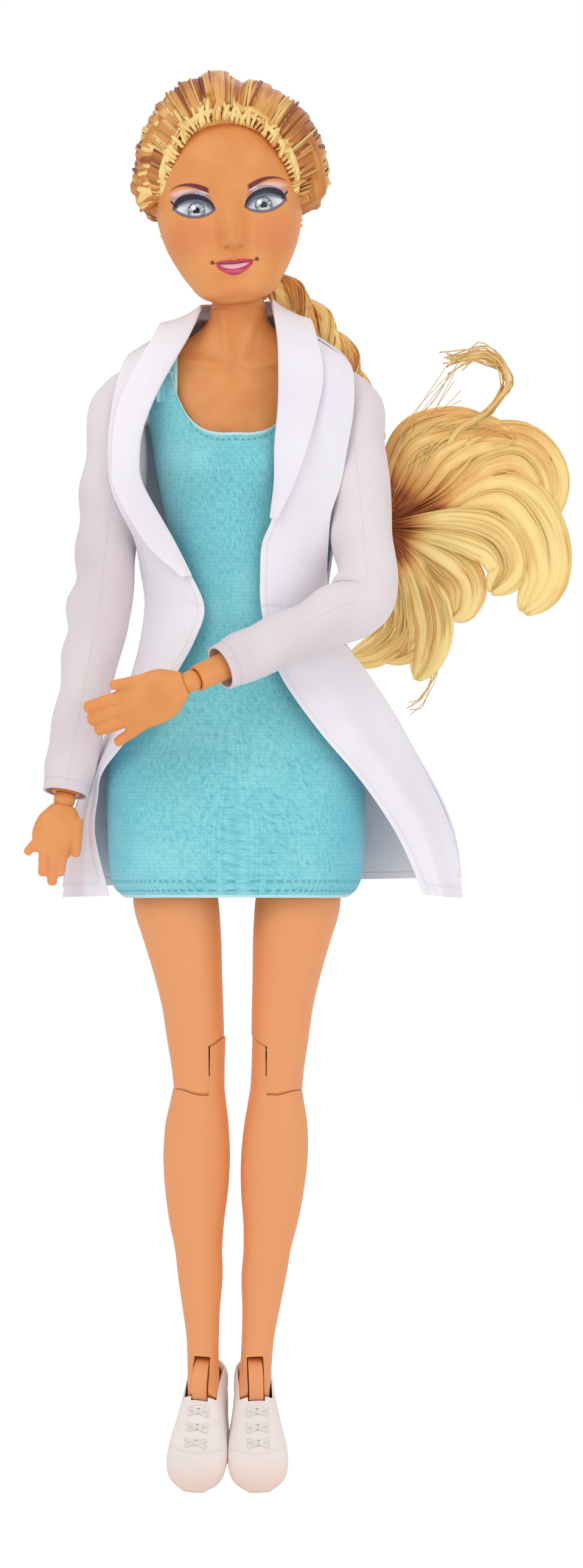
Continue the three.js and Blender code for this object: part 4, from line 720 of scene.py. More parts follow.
def skin_look(settings, name="skin", seam=False):
    """Satin moulded plastic: soft mottling, a finely pitted surface, painted shade down the inner side of the right leg
    and, with seam set, the line where the two shells of the torso meet."""
    look = Look(name, {**FLESH, "Subsurface Weight": 0.25, "Subsurface Scale": 0.0014})
    smooth, mix, place = look.smooth, look.mix, look.place()
    mottle = look.noise(place, 140.0, 3.0)
    base = mix(smooth(mottle, 0.32, 0.7), settings.skin_deep, settings.skin)
    x, y, z = look.split(place)
    pale = mix(mottle, dimmed(settings.skin_legs, 0.96), settings.skin_legs)
    base = mix(smooth(z * 1000, -44.0, -70.0), base, pale)
    # Painted shade: darker down the inner side of the right leg, below the thigh's middle
    inner = smooth(x * 1000, -8.5, -4.5) * smooth(x * 1000, -1.0, -2.5) * smooth(z * 1000, -60.0, -75.0)
    base = mix(inner * 0.45, base, settings.skin_deep)
    pits = look.noise(place, 3200.0, 2.0)
    height = pits
    if seam:
        line = smooth(abs(y * 1000), 0.28, 0.05)
        base = mix(line * 0.5, base, dimmed(settings.skin_deep, 0.55))
        height = pits - line * 3
    look.feed("Base Color", base)
    look.feed("Roughness", 0.4 + mottle * 0.14)
    look.raise_by(height, 0.35, 0.00003)
    return look.material


# Blush, painted shade beside the nose, chin, painted shade at a nostril, then lilac eyeshadow and two painted
# highlights between lid and brow: middle across and up, half-width, half-height, where the fall starts, share, colour
FACE_SPOTS = [
    (9.4, 16.4, 6.4, 5.6, 0.0, 0.3, (226, 110, 82)), (2.9, 17.4, 1.3, 4.2, 0.0, 0.4, (214, 122, 62)),
    (0.0, 4.4, 4.0, 1.8, 0.0, 0.25, (222, 120, 80)), (1.5, 13.7, 0.9, 0.55, 0.1, 0.4, (176, 88, 52)),
    (8.2, 25.3, 5.2, 1.9, 0.0, 0.75, (176, 140, 176)), (9.6, 26.2, 3.4, 1.0, 0.0, 0.6, (252, 222, 214)),
    (6.0, 25.6, 2.2, 0.7, 0.0, 0.7, (240, 232, 240)),
]
BROW = [(4.2, 26.0), (7.0, 27.3), (9.6, 27.8), (12.2, 27.2)]
EYE_X, EYE_Z, EYE_TILT, IRIS_X, IRIS_Z = 7.6, 22.75, 9.5, 7.15, 22.1


def face_look(settings):
    """The painted face on the head's skin. x, y and z are millimetres from the neck joint along the head's own axes;
    q is the distance from the face's middle line, so each feature is painted once for both sides."""
    look = Look("face", {**FLESH, "Subsurface Weight": 0.2, "Subsurface Scale": 0.0012})
    smooth, near, mix, noise, place = look.smooth, look.near, look.mix, look.noise, look.place()
    from_neck = look.node("ShaderNodeVectorMath", {"operation": "SUBTRACT"}, (place, tuple(HEAD_SEAT * MM)))
    x = look.dot(from_neck, tuple(HEAD_ACROSS / MM))
    y = look.dot(from_neck, (0.0, 1 / MM, 0.0))
    z = look.dot(from_neck, tuple(HEAD_UP / MM))
    q = abs(x - 0.15)
    front = smooth(y, -2.0, -5.0)
    mottle = noise(place, 140.0, 3.0)
    paint = mix(smooth(mottle, 0.32, 0.7), settings.skin_deep, settings.skin)

    def square(v):
        """v times itself."""
        return v * v

    def spot(middle_q, middle_z, wide, high, fall):
        """1 inside an ellipse of (q, z), falling to 0 at its edge."""
        return smooth(square((q - middle_q) / wide) + square((z - middle_z) / high), 1.0, fall)

    def lay(mask, tint):
        """Lays a tint over the paint where the mask is 1, on the front only."""
        nonlocal paint
        paint = mix(mask * front, paint, tint)

    # Make-up spots, painted shade beside the nose and at the nostrils, and painted highlights under the brow
    for *ellipse, share, tones in FACE_SPOTS:
        lay(spot(*ellipse) * share, colour(*tones))
    # Brow: a stroke along a curve through its points, thinning outwards
    c3, c2, c1, c0 = (float(v) for v in np.polyfit(*zip(*BROW), 3))
    brow = ((q * c3 + c2) * q + c1) * q + c0
    thick = smooth(q, 13.0, 4.4) * 0.5 + 0.1
    hairs = noise(look.join(q * 2.2 + z * 2.0, z * 0.6, 0.0), 2.0, 2.0)
    stroke = smooth(abs(z - brow) - thick, 0.12, -0.16) * smooth(q, 3.8, 4.5) * smooth(q, 12.6, 11.8)
    lay(stroke * (0.8 + 0.35 * hairs).smaller(1.0), colour(112, 34, 34))
    # Eye: an almond between two arcs, turned outwards and up
    tilt = math.radians(EYE_TILT)
    across, above = q - EYE_X, z - EYE_Z
    u = across * math.cos(tilt) + above * math.sin(tilt)
    v = above * math.cos(tilt) - across * math.sin(tilt)
    arch = (1 - square(u / 4.3)).larger(0.0)
    top = 2.3 * arch**0.62
    low = 1.85 * arch**0.7
    inside = smooth(top - v, -0.06, 0.1) * smooth(v + low, -0.06, 0.1) * smooth(arch, 0.0, 0.05)
    lay(inside, colour(204, 206, 216))
    lay(inside * near(u - 3.0, 1.4, 0.4) * near(v + 0.3, 1.2, 0.3) * 0.7, colour(244, 244, 248))
    reach = (square(q - IRIS_X) + square(z - IRIS_Z)) ** 0.5
    rays = noise(look.join((z - IRIS_Z) / (reach + 0.2), (q - IRIS_X) / (reach + 0.2), 0.0), 5.0, 3.0)
    iris = inside * smooth(reach, 1.96, 1.8)
    lay(iris, mix(smooth(rays, 0.35, 0.65), colour(104, 118, 138), colour(206, 216, 222)))
    lay(iris * smooth(reach, 1.45, 1.85) * 0.85, colour(60, 66, 84))
    lay(inside * smooth(reach, 0.85, 0.68), colour(20, 20, 28))
    # The painted lid shades the upper part of the eye in uneven strokes
    strokes = noise(look.join(u * 1.6 + v * 0.5, v * 0.5, 0.0), 1.6, 3.0)
    lay(inside * smooth(top - v + strokes * 0.9, 2.3, 1.3) * 0.85, colour(66, 66, 90))
    glint = smooth(square(abs(x + 0.55) - 7.0) + square(z - 22.8), 0.36, 0.16)
    lay(inside * glint, colour(255, 255, 255))
    glow = smooth(square((q - 7.5) / 1.4) + square((z - 21.2) / 0.5), 1.0, 0.2)
    lay(inside * glow * 0.75, colour(236, 244, 248))
    # Upper line, crease, lower line and the wing at the outer corner
    beside = near(u, 4.75, 4.3)
    lay(smooth(abs(v - top - 0.1) - (u + 4.6) * 0.045, 0.55, 0.25) * beside, colour(36, 34, 50))
    lay(near(v - top - 1.0, 0.24, 0.06) * near(u + 0.2, 4.0, 3.2) * 0.55, colour(120, 84, 104))
    lay(near(v + low + 0.02, 0.55, 0.12) * beside * 0.8, colour(76, 76, 98))
    lay(near(v - (u - 3.6) * 0.75 - 0.15, 0.34, 0.12) * near(u - 4.35, 0.95, 0.7), colour(38, 28, 36))
    # Lashes flick outwards above the upper line
    comb = near((u * 1.15 + v * -0.55).fraction() - 0.5, 0.2, 0.05)
    lashes = comb * smooth(v - top, 1.15, 0.5) * smooth(v - top, 0.1, 0.3) * near(u - 1.6, 3.4, 2.8)
    lay(lashes * 0.7, colour(46, 36, 46))
    # Lips: bands between parabolas, with the opening and its corners
    k = square(x / 4.7)
    lip_top = 11.12 - 0.32 * k - 0.22 * smooth(q, 1.0, 0.0)
    lip_bottom = 7.7 + 3.1 * k
    within = smooth(q, 4.75, 4.5)
    lips = smooth(lip_top - z, -0.05, 0.18) * smooth(z - lip_bottom, -0.05, 0.18) * within
    lips = lips * smooth(q, 4.3, 3.5)
    lay(lips, colour(196, 58, 88))
    lay(lips * smooth(square(x / 3.2) + square((z - 8.6) / 0.5), 1.0, 0.0) * 0.5, colour(226, 110, 146))
    opening = smooth(10.15 + 0.62 * k - z, -0.02, 0.15) * smooth(z - 9.05 - 1.9 * k, -0.02, 0.15)
    opening = opening * smooth(q, 3.4, 2.2)
    lay(opening * 0.9, colour(250, 214, 220))
    lay(near(z - 10.15 - 0.62 * k, 0.2, 0.06) * within * 0.6, colour(136, 34, 52))
    lay(smooth(square(q - 4.75) + square(z - 10.85), 0.3, 0.08) * 0.9, colour(112, 28, 34))
    look.feed("Base Color", paint)
    gloss = (inside + lips).smaller(1.0) * front
    look.feed("Roughness", 0.46 + mottle * 0.1 - gloss * 0.2)
    look.raise_by(noise(place, 3200.0, 2.0), 0.3, 0.00003)
    return look.material


def hair_look(settings, name="hair", tail=0.0, lift=0.0):
    """Rooted fibre: each lock has its own tone, streaked along its length (v) and quickly across it (u), raised by
    lift. With tail set, the tone falls towards the gathered roots and rises towards the ends that hang low."""
    look = Look(name, {"Specular IOR Level": 0.5, "Anisotropic": 0.4})
    smooth, noise, place = look.smooth, look.noise, look.place()
    across, along, _ = look.split(look.uv())
    x, y, z = look.split(place)
    drift = x * 160 + z * 130 + y * 90
    coarse = noise(look.join(across * 14, along * 1.6, drift * 0.35), 1.0, 2.0)
    fine = noise(look.join(across * 60, along * 2.2, drift), 1.0, 2.0)
    patch = noise(place, 90.0, 2.0)
    shade = look.attribute("tone") + lift + (coarse - 0.5) * 0.5 + (fine - 0.5) * 0.5 + (patch - 0.5) * 0.7
    if tail:
        pale = smooth(along, 0.15, 0.5)
        shade = shade + (pale - 0.5 - smooth(along, 0.34, 0.04) * 1.8) * tail + smooth(z, 0.01, -0.03) * 0.3
    tints = settings.hair_deep, settings.hair_dark, settings.hair, settings.hair_light
    stops = list(zip((0.02, 0.3, 0.58, 0.92), tints))
    look.feed("Base Color", look.node("ShaderNodeValToRGB", {"stops": stops}, (shade,)))
    look.feed("Roughness", 0.36 + fine * 0.22)
    look.raise_by(fine * 0.7 + coarse * 0.6, 0.5, 0.0002)
    return look.material


def knit_look(settings, wales, courses, name="knit", hem=0.0):
    """Fine jersey: V-shaped stitches in wales (u) and courses (v), a flecked dye, painted shade between the stitches
    and darker, bluer painted shade towards the sides. The mesh's edge number, in millimetres from the rim, gives the
    pale turned rim, its row of stitches and, with hem set, a second row at hem."""
    look = Look(name, {"Roughness": 0.85, "Specular IOR Level": 0.2, "Sheen Weight": 0.25, "Sheen Roughness": 0.5})
    smooth, near, mix, noise, place = look.smooth, look.near, look.mix, look.noise, look.place()
    u, v, _ = look.split(look.uv())
    x, _, _ = look.split(place)
    wale = (u * wales).fraction() - 0.5
    leg = abs(wale)
    course = (v * courses + leg * 0.9).fraction()
    loop = smooth(leg, 0.5, 0.34) * smooth(leg, 0.02, 0.14) * near(course - 0.5, 0.5, 0.22)
    slant = noise(place, 45.0, 1.0) * 9 + v * courses * 0.3
    fleck = noise(look.join(u * wales * 1.1 + slant, v * courses * 0.62, 0.0), 1.0, 3.0, 0.65)
    patch = noise(place, 60.0, 3.0)
    base = mix(smooth(fleck, 0.34, 0.66), settings.knit_dark, settings.knit)
    base = mix(smooth(patch, 0.45, 0.8) * 0.6, base, settings.knit_light)
    base = mix(smooth(fleck, 0.4, 0.28) * 0.4, base, dimmed(settings.knit_dark, 0.4))
    # Painted shade: darker and bluer towards the dress's sides
    base = mix(smooth(abs(x * 1000), 16.0, 26.0) * 0.35, base, colour(92, 190, 226))
    # Painted shade between the stitches' loops
    base = mix((1 - loop) * 0.22, base, dimmed(settings.knit_dark, 0.5))
    far = look.attribute("edge")
    rim = smooth(far, 0.75, 0.45)
    base = mix(rim * 0.75, base, colour(214, 242, 242))
    height = loop + rim * 2
    for row_at in (RIM_ROW, hem) if hem else (RIM_ROW,):
        row = near(far - row_at, 0.34, 0.16)
        dash = near((u * wales * 0.55).fraction() - 0.5, 0.34, 0.24)
        base = mix(row * dash * 0.45, base, dimmed(settings.knit_dark, 0.35))
        height = height - row * dash * 2.5
    look.feed("Base Color", base)
    look.raise_by(height, 0.5, 0.00012)
    return look.material


def coat_look(shade, light, name="coat", threads=(230, 330), row_at=0.0):
    """Thin plain weave: threads crossing along u and v with painted shade in the weave's low cells, faint creases and,
    with row_at set, a line of stitches at that many millimetres from the rim, as the mesh's edge number has it."""
    look = Look(name, {"Roughness": 0.8, "Specular IOR Level": 0.2, "Sheen Weight": 0.15})
    place = look.place()
    u, v, _ = look.split(look.uv())
    warp = (u * threads[0] * math.pi).sin()
    weft = (v * threads[1] * math.pi).sin()
    weave = warp * weft
    crease = look.noise(place, 95.0, 3.0)
    cloud = look.noise(place, 32.0, 2.0)
    base = look.mix(look.smooth(cloud, 0.35, 0.65), shade, light)
    # Painted shade in the weave's low cells, where its bump is lowest
    base = look.mix(look.smooth(weave, -0.2, -0.9) * 0.2, base, dimmed(shade, 0.8))
    height = weave * 0.3 + crease * 3.0
    if row_at:
        far = look.attribute("edge")
        row = look.near(far - row_at, 0.3, 0.12)
        base = look.mix(row * 0.14, base, dimmed(shade, 0.6))
        height = height - row * 1.5
    look.feed("Base Color", base)
    look.raise_by(height, 0.4, 0.00016)
    return look.material


def shoe_look(settings, name="shoe"):
    """Soft moulded plastic, white above and rosy towards the toe, with rubbed, duller patches."""
    look = Look(name, {"Specular IOR Level": 0.4})
    place = look.place()
    _, _, z = look.split(place)
    rub = look.noise(place, 220.0, 3.0)
    worn = look.noise(place, 90.0, 2.0)
    toe = look.smooth(z * 1000 + worn * 6, -176.0, -184.5)
    base = look.mix(look.smooth(worn, 0.4, 0.7) * 0.4, settings.shoe, settings.shoe_shade)
    base = look.mix(toe * 0.85, base, settings.shoe_toe)
    look.feed("Base Color", base)
    look.feed("Roughness", 0.42 + rub * 0.3)
    look.feed("Coat Weight", look.smooth(rub, 0.65, 0.35) * 0.12)
    look.raise_by(rub, 0.25, 0.00008)
    return look.material


def trim_look(name, tint, rough, grain):
    """Small moulded or painted trim: one tint broken up by grain, matt where the grain is high."""
    look = Look(name, {"Specular IOR Level": 0.4})
    place = look.place()
    speck = look.noise(place, grain, 3.0)
    look.feed("Base Color", look.mix(look.smooth(speck, 0.3, 0.75) * 0.4, tint, dimmed(tint, 0.7)))
    look.feed("Roughness", rough + speck * 0.2)
    look.raise_by(speck, 0.3, 0.00005)
    return look.material


# ---------------------------------------------------------------- skin


HEAD_AXES = basis(HEAD_SEAT, HEAD_UP, HEAD_ACROSS)


def torso_grid(z, columns=180):
    """Rings of the torso at heights z, leaning to the neck above 52 mm. The bust is two bells on the front;
    collar bones are a ridge that rises outwards and the neck's two cords run down to its foot."""
    half, front, back = rows_at(TORSO, z).T
    grid = ring_grid(0, 0, z, half, front, back, 2.3, columns)
    x, y, high = grid[..., 0], grid[..., 1], z[:, None]
    side = np.abs(x)
    out = BUST_DEPTH * bump(side - BUST_SIDE, BUST_WIDTH) * bump(high - BUST_HEIGHT, BUST_SPREAD)
    out += 0.75 * bump(high - 50.6 - 0.2 * side, 1.3) * ramp(side, 0.8, 3) * ramp(side, 15, 10)
    out += 0.6 * bump(side - 0.9 - 0.2 * (high - 50), 1.2) * ramp(high, 50, 53) * ramp(high, 66, 60)
    out -= 0.6 * bump(side, 1.4) * bump(high - 50, 1.6)
    grid[..., 1] -= np.where(y < 0, out, 0)
    grid[..., :2] += (np.clip((z - 52) / 10, 0, 1)[:, None, None]) * NECK[:2]
    return grid


def head_grid(rows=170, columns=260):
    """The head: rings of the table, then the face pushed out (+) or in (-) by bells in x and z on its front:
    nose bridge, tip and wings, eye sockets with the eyeballs in them, brow, cheeks, lips, mouth line and chin."""
    z = np.linspace(HEAD[0][0], HEAD[-1][0], rows)
    half, front, back = rows_at(HEAD, z).T
    middle, depth = (back - front) / 2, (back + front) / 2
    grid = ring_grid(0, middle, z, half, depth, depth, 2.2, columns)
    x, y, h = grid[..., 0], grid[..., 1], z[:, None]
    q = np.abs(x)
    ahead = ramp(-(y - middle[:, None]) / depth[:, None], 0.25, 0.75)
    out = 1.2 * bump(x, 1.5) * ramp(h, 25, 17.5) * ramp(h, 12.5, 14.6)
    out += 2.5 * bump(x, 1.9) * bump(h - 15.5, 2.3) + 0.75 * bump(q - 1.95, 0.95) * bump(h - 14.3, 1.15)
    out -= 0.7 * bump(q - 6.6, 4.0) * bump(h - 22.6, 3.2) + 0.5 * bump(q - 2.9, 1.1) * bump(h - 22, 2.2)
    out += 0.75 * bump(q - 7.4, 3.0) * bump(h - 22.6, 1.9) + 0.35 * bump(q - 8, 4.5) * bump(h - 27.6, 1.5)
    out += 0.45 * bump(q - 8.6, 3.4) * bump(h - 15.6, 3.6)
    k = (x / 4.7) ** 2
    out += 0.55 * bump(h - 9.7, 2.4) * bump(x, 5.2)
    out += 0.5 * bump(h - 10.75 + 0.1 * k, 0.5) * ramp(q, 4.8, 3) + 0.6 * bump(h - 8.5 - 1.6 * k, 0.8) * ramp(q, 4.4, 2)
    out -= 0.5 * bump(h - 9.95 - 0.7 * k, 0.32) * ramp(q, 5, 3.6) + 0.35 * bump(q - 5, 0.7) * bump(h - 10.7, 0.8)
    out -= 0.22 * bump(x, 0.55) * bump(h - 12.4, 1.0) + 0.4 * bump(x, 3.2) * bump(h - 6.7, 0.9)
    out += 0.6 * bump(x, 3.4) * bump(h - 4.6, 1.9)
    grid[..., 1] -= out * ahead
    return into(HEAD_AXES, grid)


def limb_grid(table, down, side, origin, toward, columns=72):
    """Level rings of a leg, whose middle runs straight from one joint to the next."""
    out, half, front, back = rows_at(table, down).T
    drop = origin[2] - toward[2]
    lean = (toward - origin)[:2] / drop
    return ring_grid(side * out + lean[0] * down, lean[1] * down, -down, half, front, back, 2.1, columns) + origin


def span(side, near, far):
    """A pair of x from near to far on one side of the middle, lowest first."""
    return sorted((side * near, side * far))


def knee_cap(key, more=0.0):
    """The rounded cap that turns in the lower leg's cup: a barrel round the knee's axis, swelled by more."""
    out = np.linspace(KNEE_CAP[0][0], KNEE_CAP[-1][0], 60)[:, None]
    angle = turns(72)[None, :]
    radius = rows_at(KNEE_CAP, out[:, 0]) + more
    x, y, z = KNEE[key]
    grid = joined(x + SIDES[key] * out, y + radius * np.cos(angle), z + radius * np.sin(angle))
    return surface("cap", [grid])


def thigh(key):
    """Thigh: leg rings and a hip ball, with the rounded knee cap and the recess for the lower leg's ear."""
    side, hip, knee = SIDES[key], HIP[key], KNEE[key]
    kx, ky, kz = knee
    cap_x = [kx + v for v in span(side, -KNEE_EAR_SIDE, 20)]
    ear_x = [kx + v for v in span(side, -20, -KNEE_EAR_SIDE)]
    down = np.concatenate([-HIP_BALL * np.cos(np.linspace(0.06, np.pi / 2, 24)), np.linspace(0.5, 69, 138)])
    # The hip's ball stands out of the thigh's own rings
    ball = np.sqrt(np.clip(HIP_BALL**2 - down**2, 0, None))[:, None]
    sizes = rows_at(THIGH, down) * (down > 0)[:, None]
    table = np.hstack([down[:, None], sizes[:, :1], np.maximum(sizes[:, 1:], ball)])
    full = surface(f"thigh_skin_{key}", [limb_grid(table, down, side, hip, knee)])
    # Below the knee's axis only the round cap stays
    low = slab((kx - 30, kx + 30), (-30, 30), (kz - 20, kz))
    fold_from = ky + KNEE_CUP - 2 * GAP
    boolean(low, [slab(cap_x, (fold_from, 19.7), (kz - 1.3, kz + KNEE_FOLD))], "UNION")
    boolean(low, [knee_cap(key)])
    ear = cylinder(KNEE_EAR + GAP, (ear_x[0], ky, kz), (ear_x[1], ky, kz), 64)
    # A web inside the ear's slot closes the view through it
    web = sorted(kx - side * v for v in (KNEE_EAR_SIDE - 1, KNEE_EAR_SIDE + GAP - 0.02))
    boolean(ear, [slab(web, (ky - 1, ky + 1), (kz + KNEE_WASHER + 0.1, kz + 9.3))])
    boolean(full, [low, ear])
    return crisp(full)


def ankle_axes(key):
    """The level axes at an ankle, turned out and tilted with the foot."""
    side = SIDES[key]
    tilt = basis(ANKLE[key], (0, 0, 1), (1, 0, 0)) @ turned((0, 1, 0), -side * FOOT_TILT[key])
    return tilt @ turned((0, 0, 1), side * TOE_OUT[key])


def lower_leg(key):
    """Lower leg: a cup under the knee cap, an ear beside it, calf, and the fork whose cheeks hold the ankle pin."""
    side, knee, ankle = SIDES[key], KNEE[key], ANKLE[key]
    kx, ky, kz = knee
    ear_x = [kx + v for v in span(side, -20, -KNEE_EAR_SIDE - GAP)]
    leg = surface(f"lower_leg_skin_{key}", [limb_grid(LOWER_LEG, np.linspace(-8.5, 70, 160), side, knee, ankle)])
    # Above the cup only the ear stays, a disc round the knee's axis; in front the cup's wall reaches higher
    above = slab((kx - 30, kx + 30), (ky - 1, 30), (kz - KNEE_CUP, kz + 20))
    boolean(above, [slab((kx - 31, kx + 31), (-29, ky + 0.5), (kz - 0.7, kz + 19))], "UNION")
    boolean(above, [cylinder(KNEE_EAR, (ear_x[0], ky, kz), (ear_x[1], ky, kz), 64)])
    boolean(leg, [above, knee_cap(key, GAP + 0.1)])
    # A washer closes the view through the slot between the ear and the cap
    washer = [kx + v for v in span(side, -KNEE_EAR_SIDE - GAP - 0.6, -KNEE_EAR_SIDE - 0.03)]
    boolean(leg, [cylinder(KNEE_WASHER, (washer[0], ky, kz), (washer[1], ky, kz), 56)], "UNION")
    turn = ankle_axes(key)
    # Below the ankle's axis only the fork's round cheeks stay
    below = boolean(slab((-14, 14), (-14, 14), (-20, 0), turn), [cylinder(ANKLE_CHEEK, *pin_ends(turn, 15), 56)])
    boolean(leg, [below])
    half = ANKLE_TONGUE / 2 + 0.25
    boolean(leg, [slab((-half, half), (-9, 9), (-12, ANKLE_TOP + 0.4), turn)])
    boolean(leg, [cylinder(ANKLE_PIN, *pin_ends(turn, half + 1), 24)], "UNION")
    return crisp(leg)


def shoe_rings(ahead, wall, floor, columns=72):
    """Rings of the shoe at distances ahead of the ankle: rounded across, with a flat sole. wall and floor shrink
    them."""
    half, top, sole = rows_at(SHOE, ahead).T
    low, high = sole + floor, top - wall
    middle = (high + low) / 2
    angle = turns(columns)[None, :]
    c, s = np.cos(angle), np.sin(angle)
    up = power_of(s, 2.6) * np.where(s < 0, (middle - low)[:, None], (high - middle)[:, None])
    x = power_of(c, 2.6) * (half - wall)[:, None]
    z = middle[:, None] + np.maximum(up * SOLE_FLAT, (low - middle)[:, None])
    return joined(x, -ahead[:, None], z)


def shoe_top(x, ahead):
    """Height of the shoe's upper at a place across and ahead: a rounded arch between its sides."""
    half, top, sole = np.moveaxis(rows_at(SHOE, ahead), -1, 0)
    middle = (top + sole) / 2
    arch = np.clip(1 - (np.abs(x) / half) ** 2.6, 0, 1) ** (1 / 2.6)
    return middle + arch * (top - middle) * SOLE_FLAT


def shoe_inside(wall, toe):
    """Rings of the shoe's inside, wall away from its surface, up to a toe."""
    return shoe_rings(np.linspace(HEEL + wall, toe, 80), wall, wall, 56)


def foot(key, axes):
    """The foot inside its shoe, with the ankle's tongue and a rounded instep above it."""
    skin = surface(f"foot_skin_{key}", [into(axes, shoe_inside(SHOE_WALL + 1.5 * GAP, 19.6))])
    boolean(skin, [slab((-9, 9), (-30, 9), (-4.4, 4), axes)])
    half = ANKLE_TONGUE / 2
    disc = cylinder(ANKLE_TOP, *pin_ends(axes, half), 64)
    bar = slab((-half, half), (-2.2, 2.2), (-8, 0), axes)
    rise = np.linspace(-8.6, -4.6, 12)
    instep = ring_grid(0, 0, rise, 3.2 - 0.2 * (rise + 8.6), 3.4, 3.2, 2.1, 40)
    boolean(skin, [disc, bar, surface("instep", [into(axes, instep)])], "UNION")
    return crisp(skin)


def shoe_shell(key, axes):
    """The shoe: hollow, and cut away where the lower leg swings between its sides."""
    shoe = surface(f"shoe_shell_{key}", [into(axes, shoe_rings(np.linspace(HEEL, TOE, 80), 0, 0))])
    boolean(shoe, [surface("inside", [into(axes, shoe_inside(SHOE_WALL, 20.4))])])
    s, c = math.sin(math.radians(FOOT_POINT)), math.cos(math.radians(FOOT_POINT))
    side_view = [(COLLAR_CLEAR * c, -COLLAR_CLEAR * s), (COLLAR_CLEAR * c + 12 * s, -COLLAR_CLEAR * s + 12 * c)]
    side_view += [(14, 12), (-COLLAR_CLEAR, 12), (-COLLAR_CLEAR, 0)]
    prism = np.array([[[x, y, z] for y, z in side_view] for x in (-COLLAR_HALF, COLLAR_HALF)])
    boolean(shoe, [surface("swing", [into(axes, prism)])])
    boolean(shoe, [cylinder(COLLAR_CLEAR, *pin_ends(axes, COLLAR_HALF))])
    boolean(shoe, [cylinder(ANKLE_TOP + GAP, *pin_ends(axes, ANKLE_TONGUE / 2 + GAP))])
    return crisp(shoe)


def over_shoe(x, ahead, lift):
    """A line on the shoe's upper, lifted off it."""
    return joined(x, -ahead, shoe_top(x, ahead) + lift)


def shoe_trims():
    """The welt round the sole, the toe seam and the rim of the tongue."""
    turn = 2 * np.pi * np.linspace(0, 1, 121)
    ahead, across = 7.5 - 14.3 * np.cos(turn), np.sin(turn)
    half = rows_at(SHOE, np.clip(ahead, HEEL, TOE))[:, 0]
    welt = joined(np.sign(across) * np.abs(across) ** 0.6 * (half + 0.05), -ahead, -9.3)
    grids = [tube_grid(welt, [0, 0, 1], 0.45, 0.3, 10)]
    # Place ahead, half-width, thickness and how far the middle is ahead of the ends
    for at, reach, size, bow in ((15.2, 5.6, 0.26, 1.6), (5.8, 2.4, 0.3, -0.6)):
        x = np.linspace(-reach, reach, 50)
        grids.append(tube_grid(over_shoe(x, at - bow * (x / reach) ** 2, 0.05), [0, 0, 1], size, size, 8))
    return grids


def lacing():
    """Three crossed laces, and a low round stud where each pair crosses."""
    laces, studs = [], []
    x = np.linspace(-2.3, 2.3, 30)
    turn, rise = turns(24)[None, :], np.linspace(0, 1.45, 8)[:, None]
    for at in (7.2, 10.2, 13.2):
        for cross in (-1, 1):
            line = over_shoe(x, at + 0.7 * cross * x / 2.3, 0.08 + 0.1 * bump(x, 0.9) * (cross > 0))
            laces.append(tube_grid(line, [0, 0, 1], 0.22, 0.5, 10))
        across, ahead = 0.62 * np.cos(rise) * np.cos(turn), at + 0.62 * np.cos(rise) * np.sin(turn)
        studs.append(over_shoe(across, ahead, 0.3 * np.sin(rise)))
    return laces, studs


def hand(key):
    """Palm rings and bent finger tubes, melted into one skin."""
    origin, tips, elbow = WRIST[key], FINGERTIPS[key], ELBOW[key]
    palm = tips - origin
    axes = basis(origin, -palm, np.cross(origin - elbow, palm))
    z = -np.linspace(PALM[key][0][0], PALM[key][-1][0], 40)[::-1]
    x, half, deep = rows_at(PALM[key], -z).T
    grids = [ring_grid(x, 0, z, half, deep, deep, 2.4, 48)]
    for start, end, radius in FINGERS[key]:
        a, b = np.array(start), np.array(end)
        t = np.linspace(0, 1, 30)[:, None]
        knee = a + (b - a) * 0.55 + [0, -0.9, 0]
        line = a * (1 - t) ** 2 + 2 * knee * t * (1 - t) + b * t * t
        t = t[:, 0]
        # Fingers swell at two joints and narrow to a rounded tip
        size = radius * (1.04 - 0.14 * t + 0.08 * bump(t - 0.42, 0.07) + 0.06 * bump(t - 0.72, 0.06))
        size = size * np.sqrt(np.clip(1 - np.clip((t - 0.9) / 0.1, 0, 1) ** 2, 0.02, 1))
        grids.append(tube_grid(line, [1, 0, 0], size, size * 0.92, 20))
    obj = surface(f"hand_skin_{key}", [into(axes, g) for g in grids])
    melt = obj.modifiers.new("melt", "REMESH")
    melt.mode = "VOXEL"
    melt.voxel_size = 0.24 * MM
    relax = obj.modifiers.new("relax", "SMOOTH")
    relax.factor, relax.iterations = 0.5, 5
    bake_shape(obj)
    obj.data.shade_smooth()
    return obj


def forearm(key):
    """Forearm rings about the line from elbow to wrist, stretched to its length, with a hollow at both ends."""
    elbow, wrist = ELBOW[key], WRIST[key]
    scale = (np.linalg.norm(wrist - elbow) - 1.4) / FOREARM[-1][0]
    rows = [(d if d < 10 else d * scale, *rest) for d, *rest in FOREARM]
    down = np.linspace(rows[0][0], rows[-1][0], 60)
    half, front, back = rows_at(rows, down).T
    axes = basis(elbow, elbow - wrist, np.cross(SHOULDER[key] - elbow, wrist - elbow))
    obj = surface(f"forearm_skin_{key}", [into(axes, ring_grid(0, 0, -down, half, front, back, 2.1, 56))])
    boolean(obj, [sphere(WRIST_BALL + GAP, wrist), sphere(ELBOW_SOCKET + GAP, elbow)])
    return crisp(obj)


# ---------------------------------------------------------------- hair


# Where the hair's hull is seen from when points are pushed out to it, and the place where the hair gathers
HULL_MIDDLE, NAPE = np.array([0.0, 1.0, 24.0]), np.array([3.2, 15.2, 8.4])
HULL_LOW, HULL_HIGH = HAIR[0][0], HAIR[-1][0]
# Half-width, middle height and half-height of the hairline and of the scalp's opening behind it
HAIRLINE, SCALP_OPENING = (15.5, 20.5, 19.7), (15.4, 20.5, 19.5)
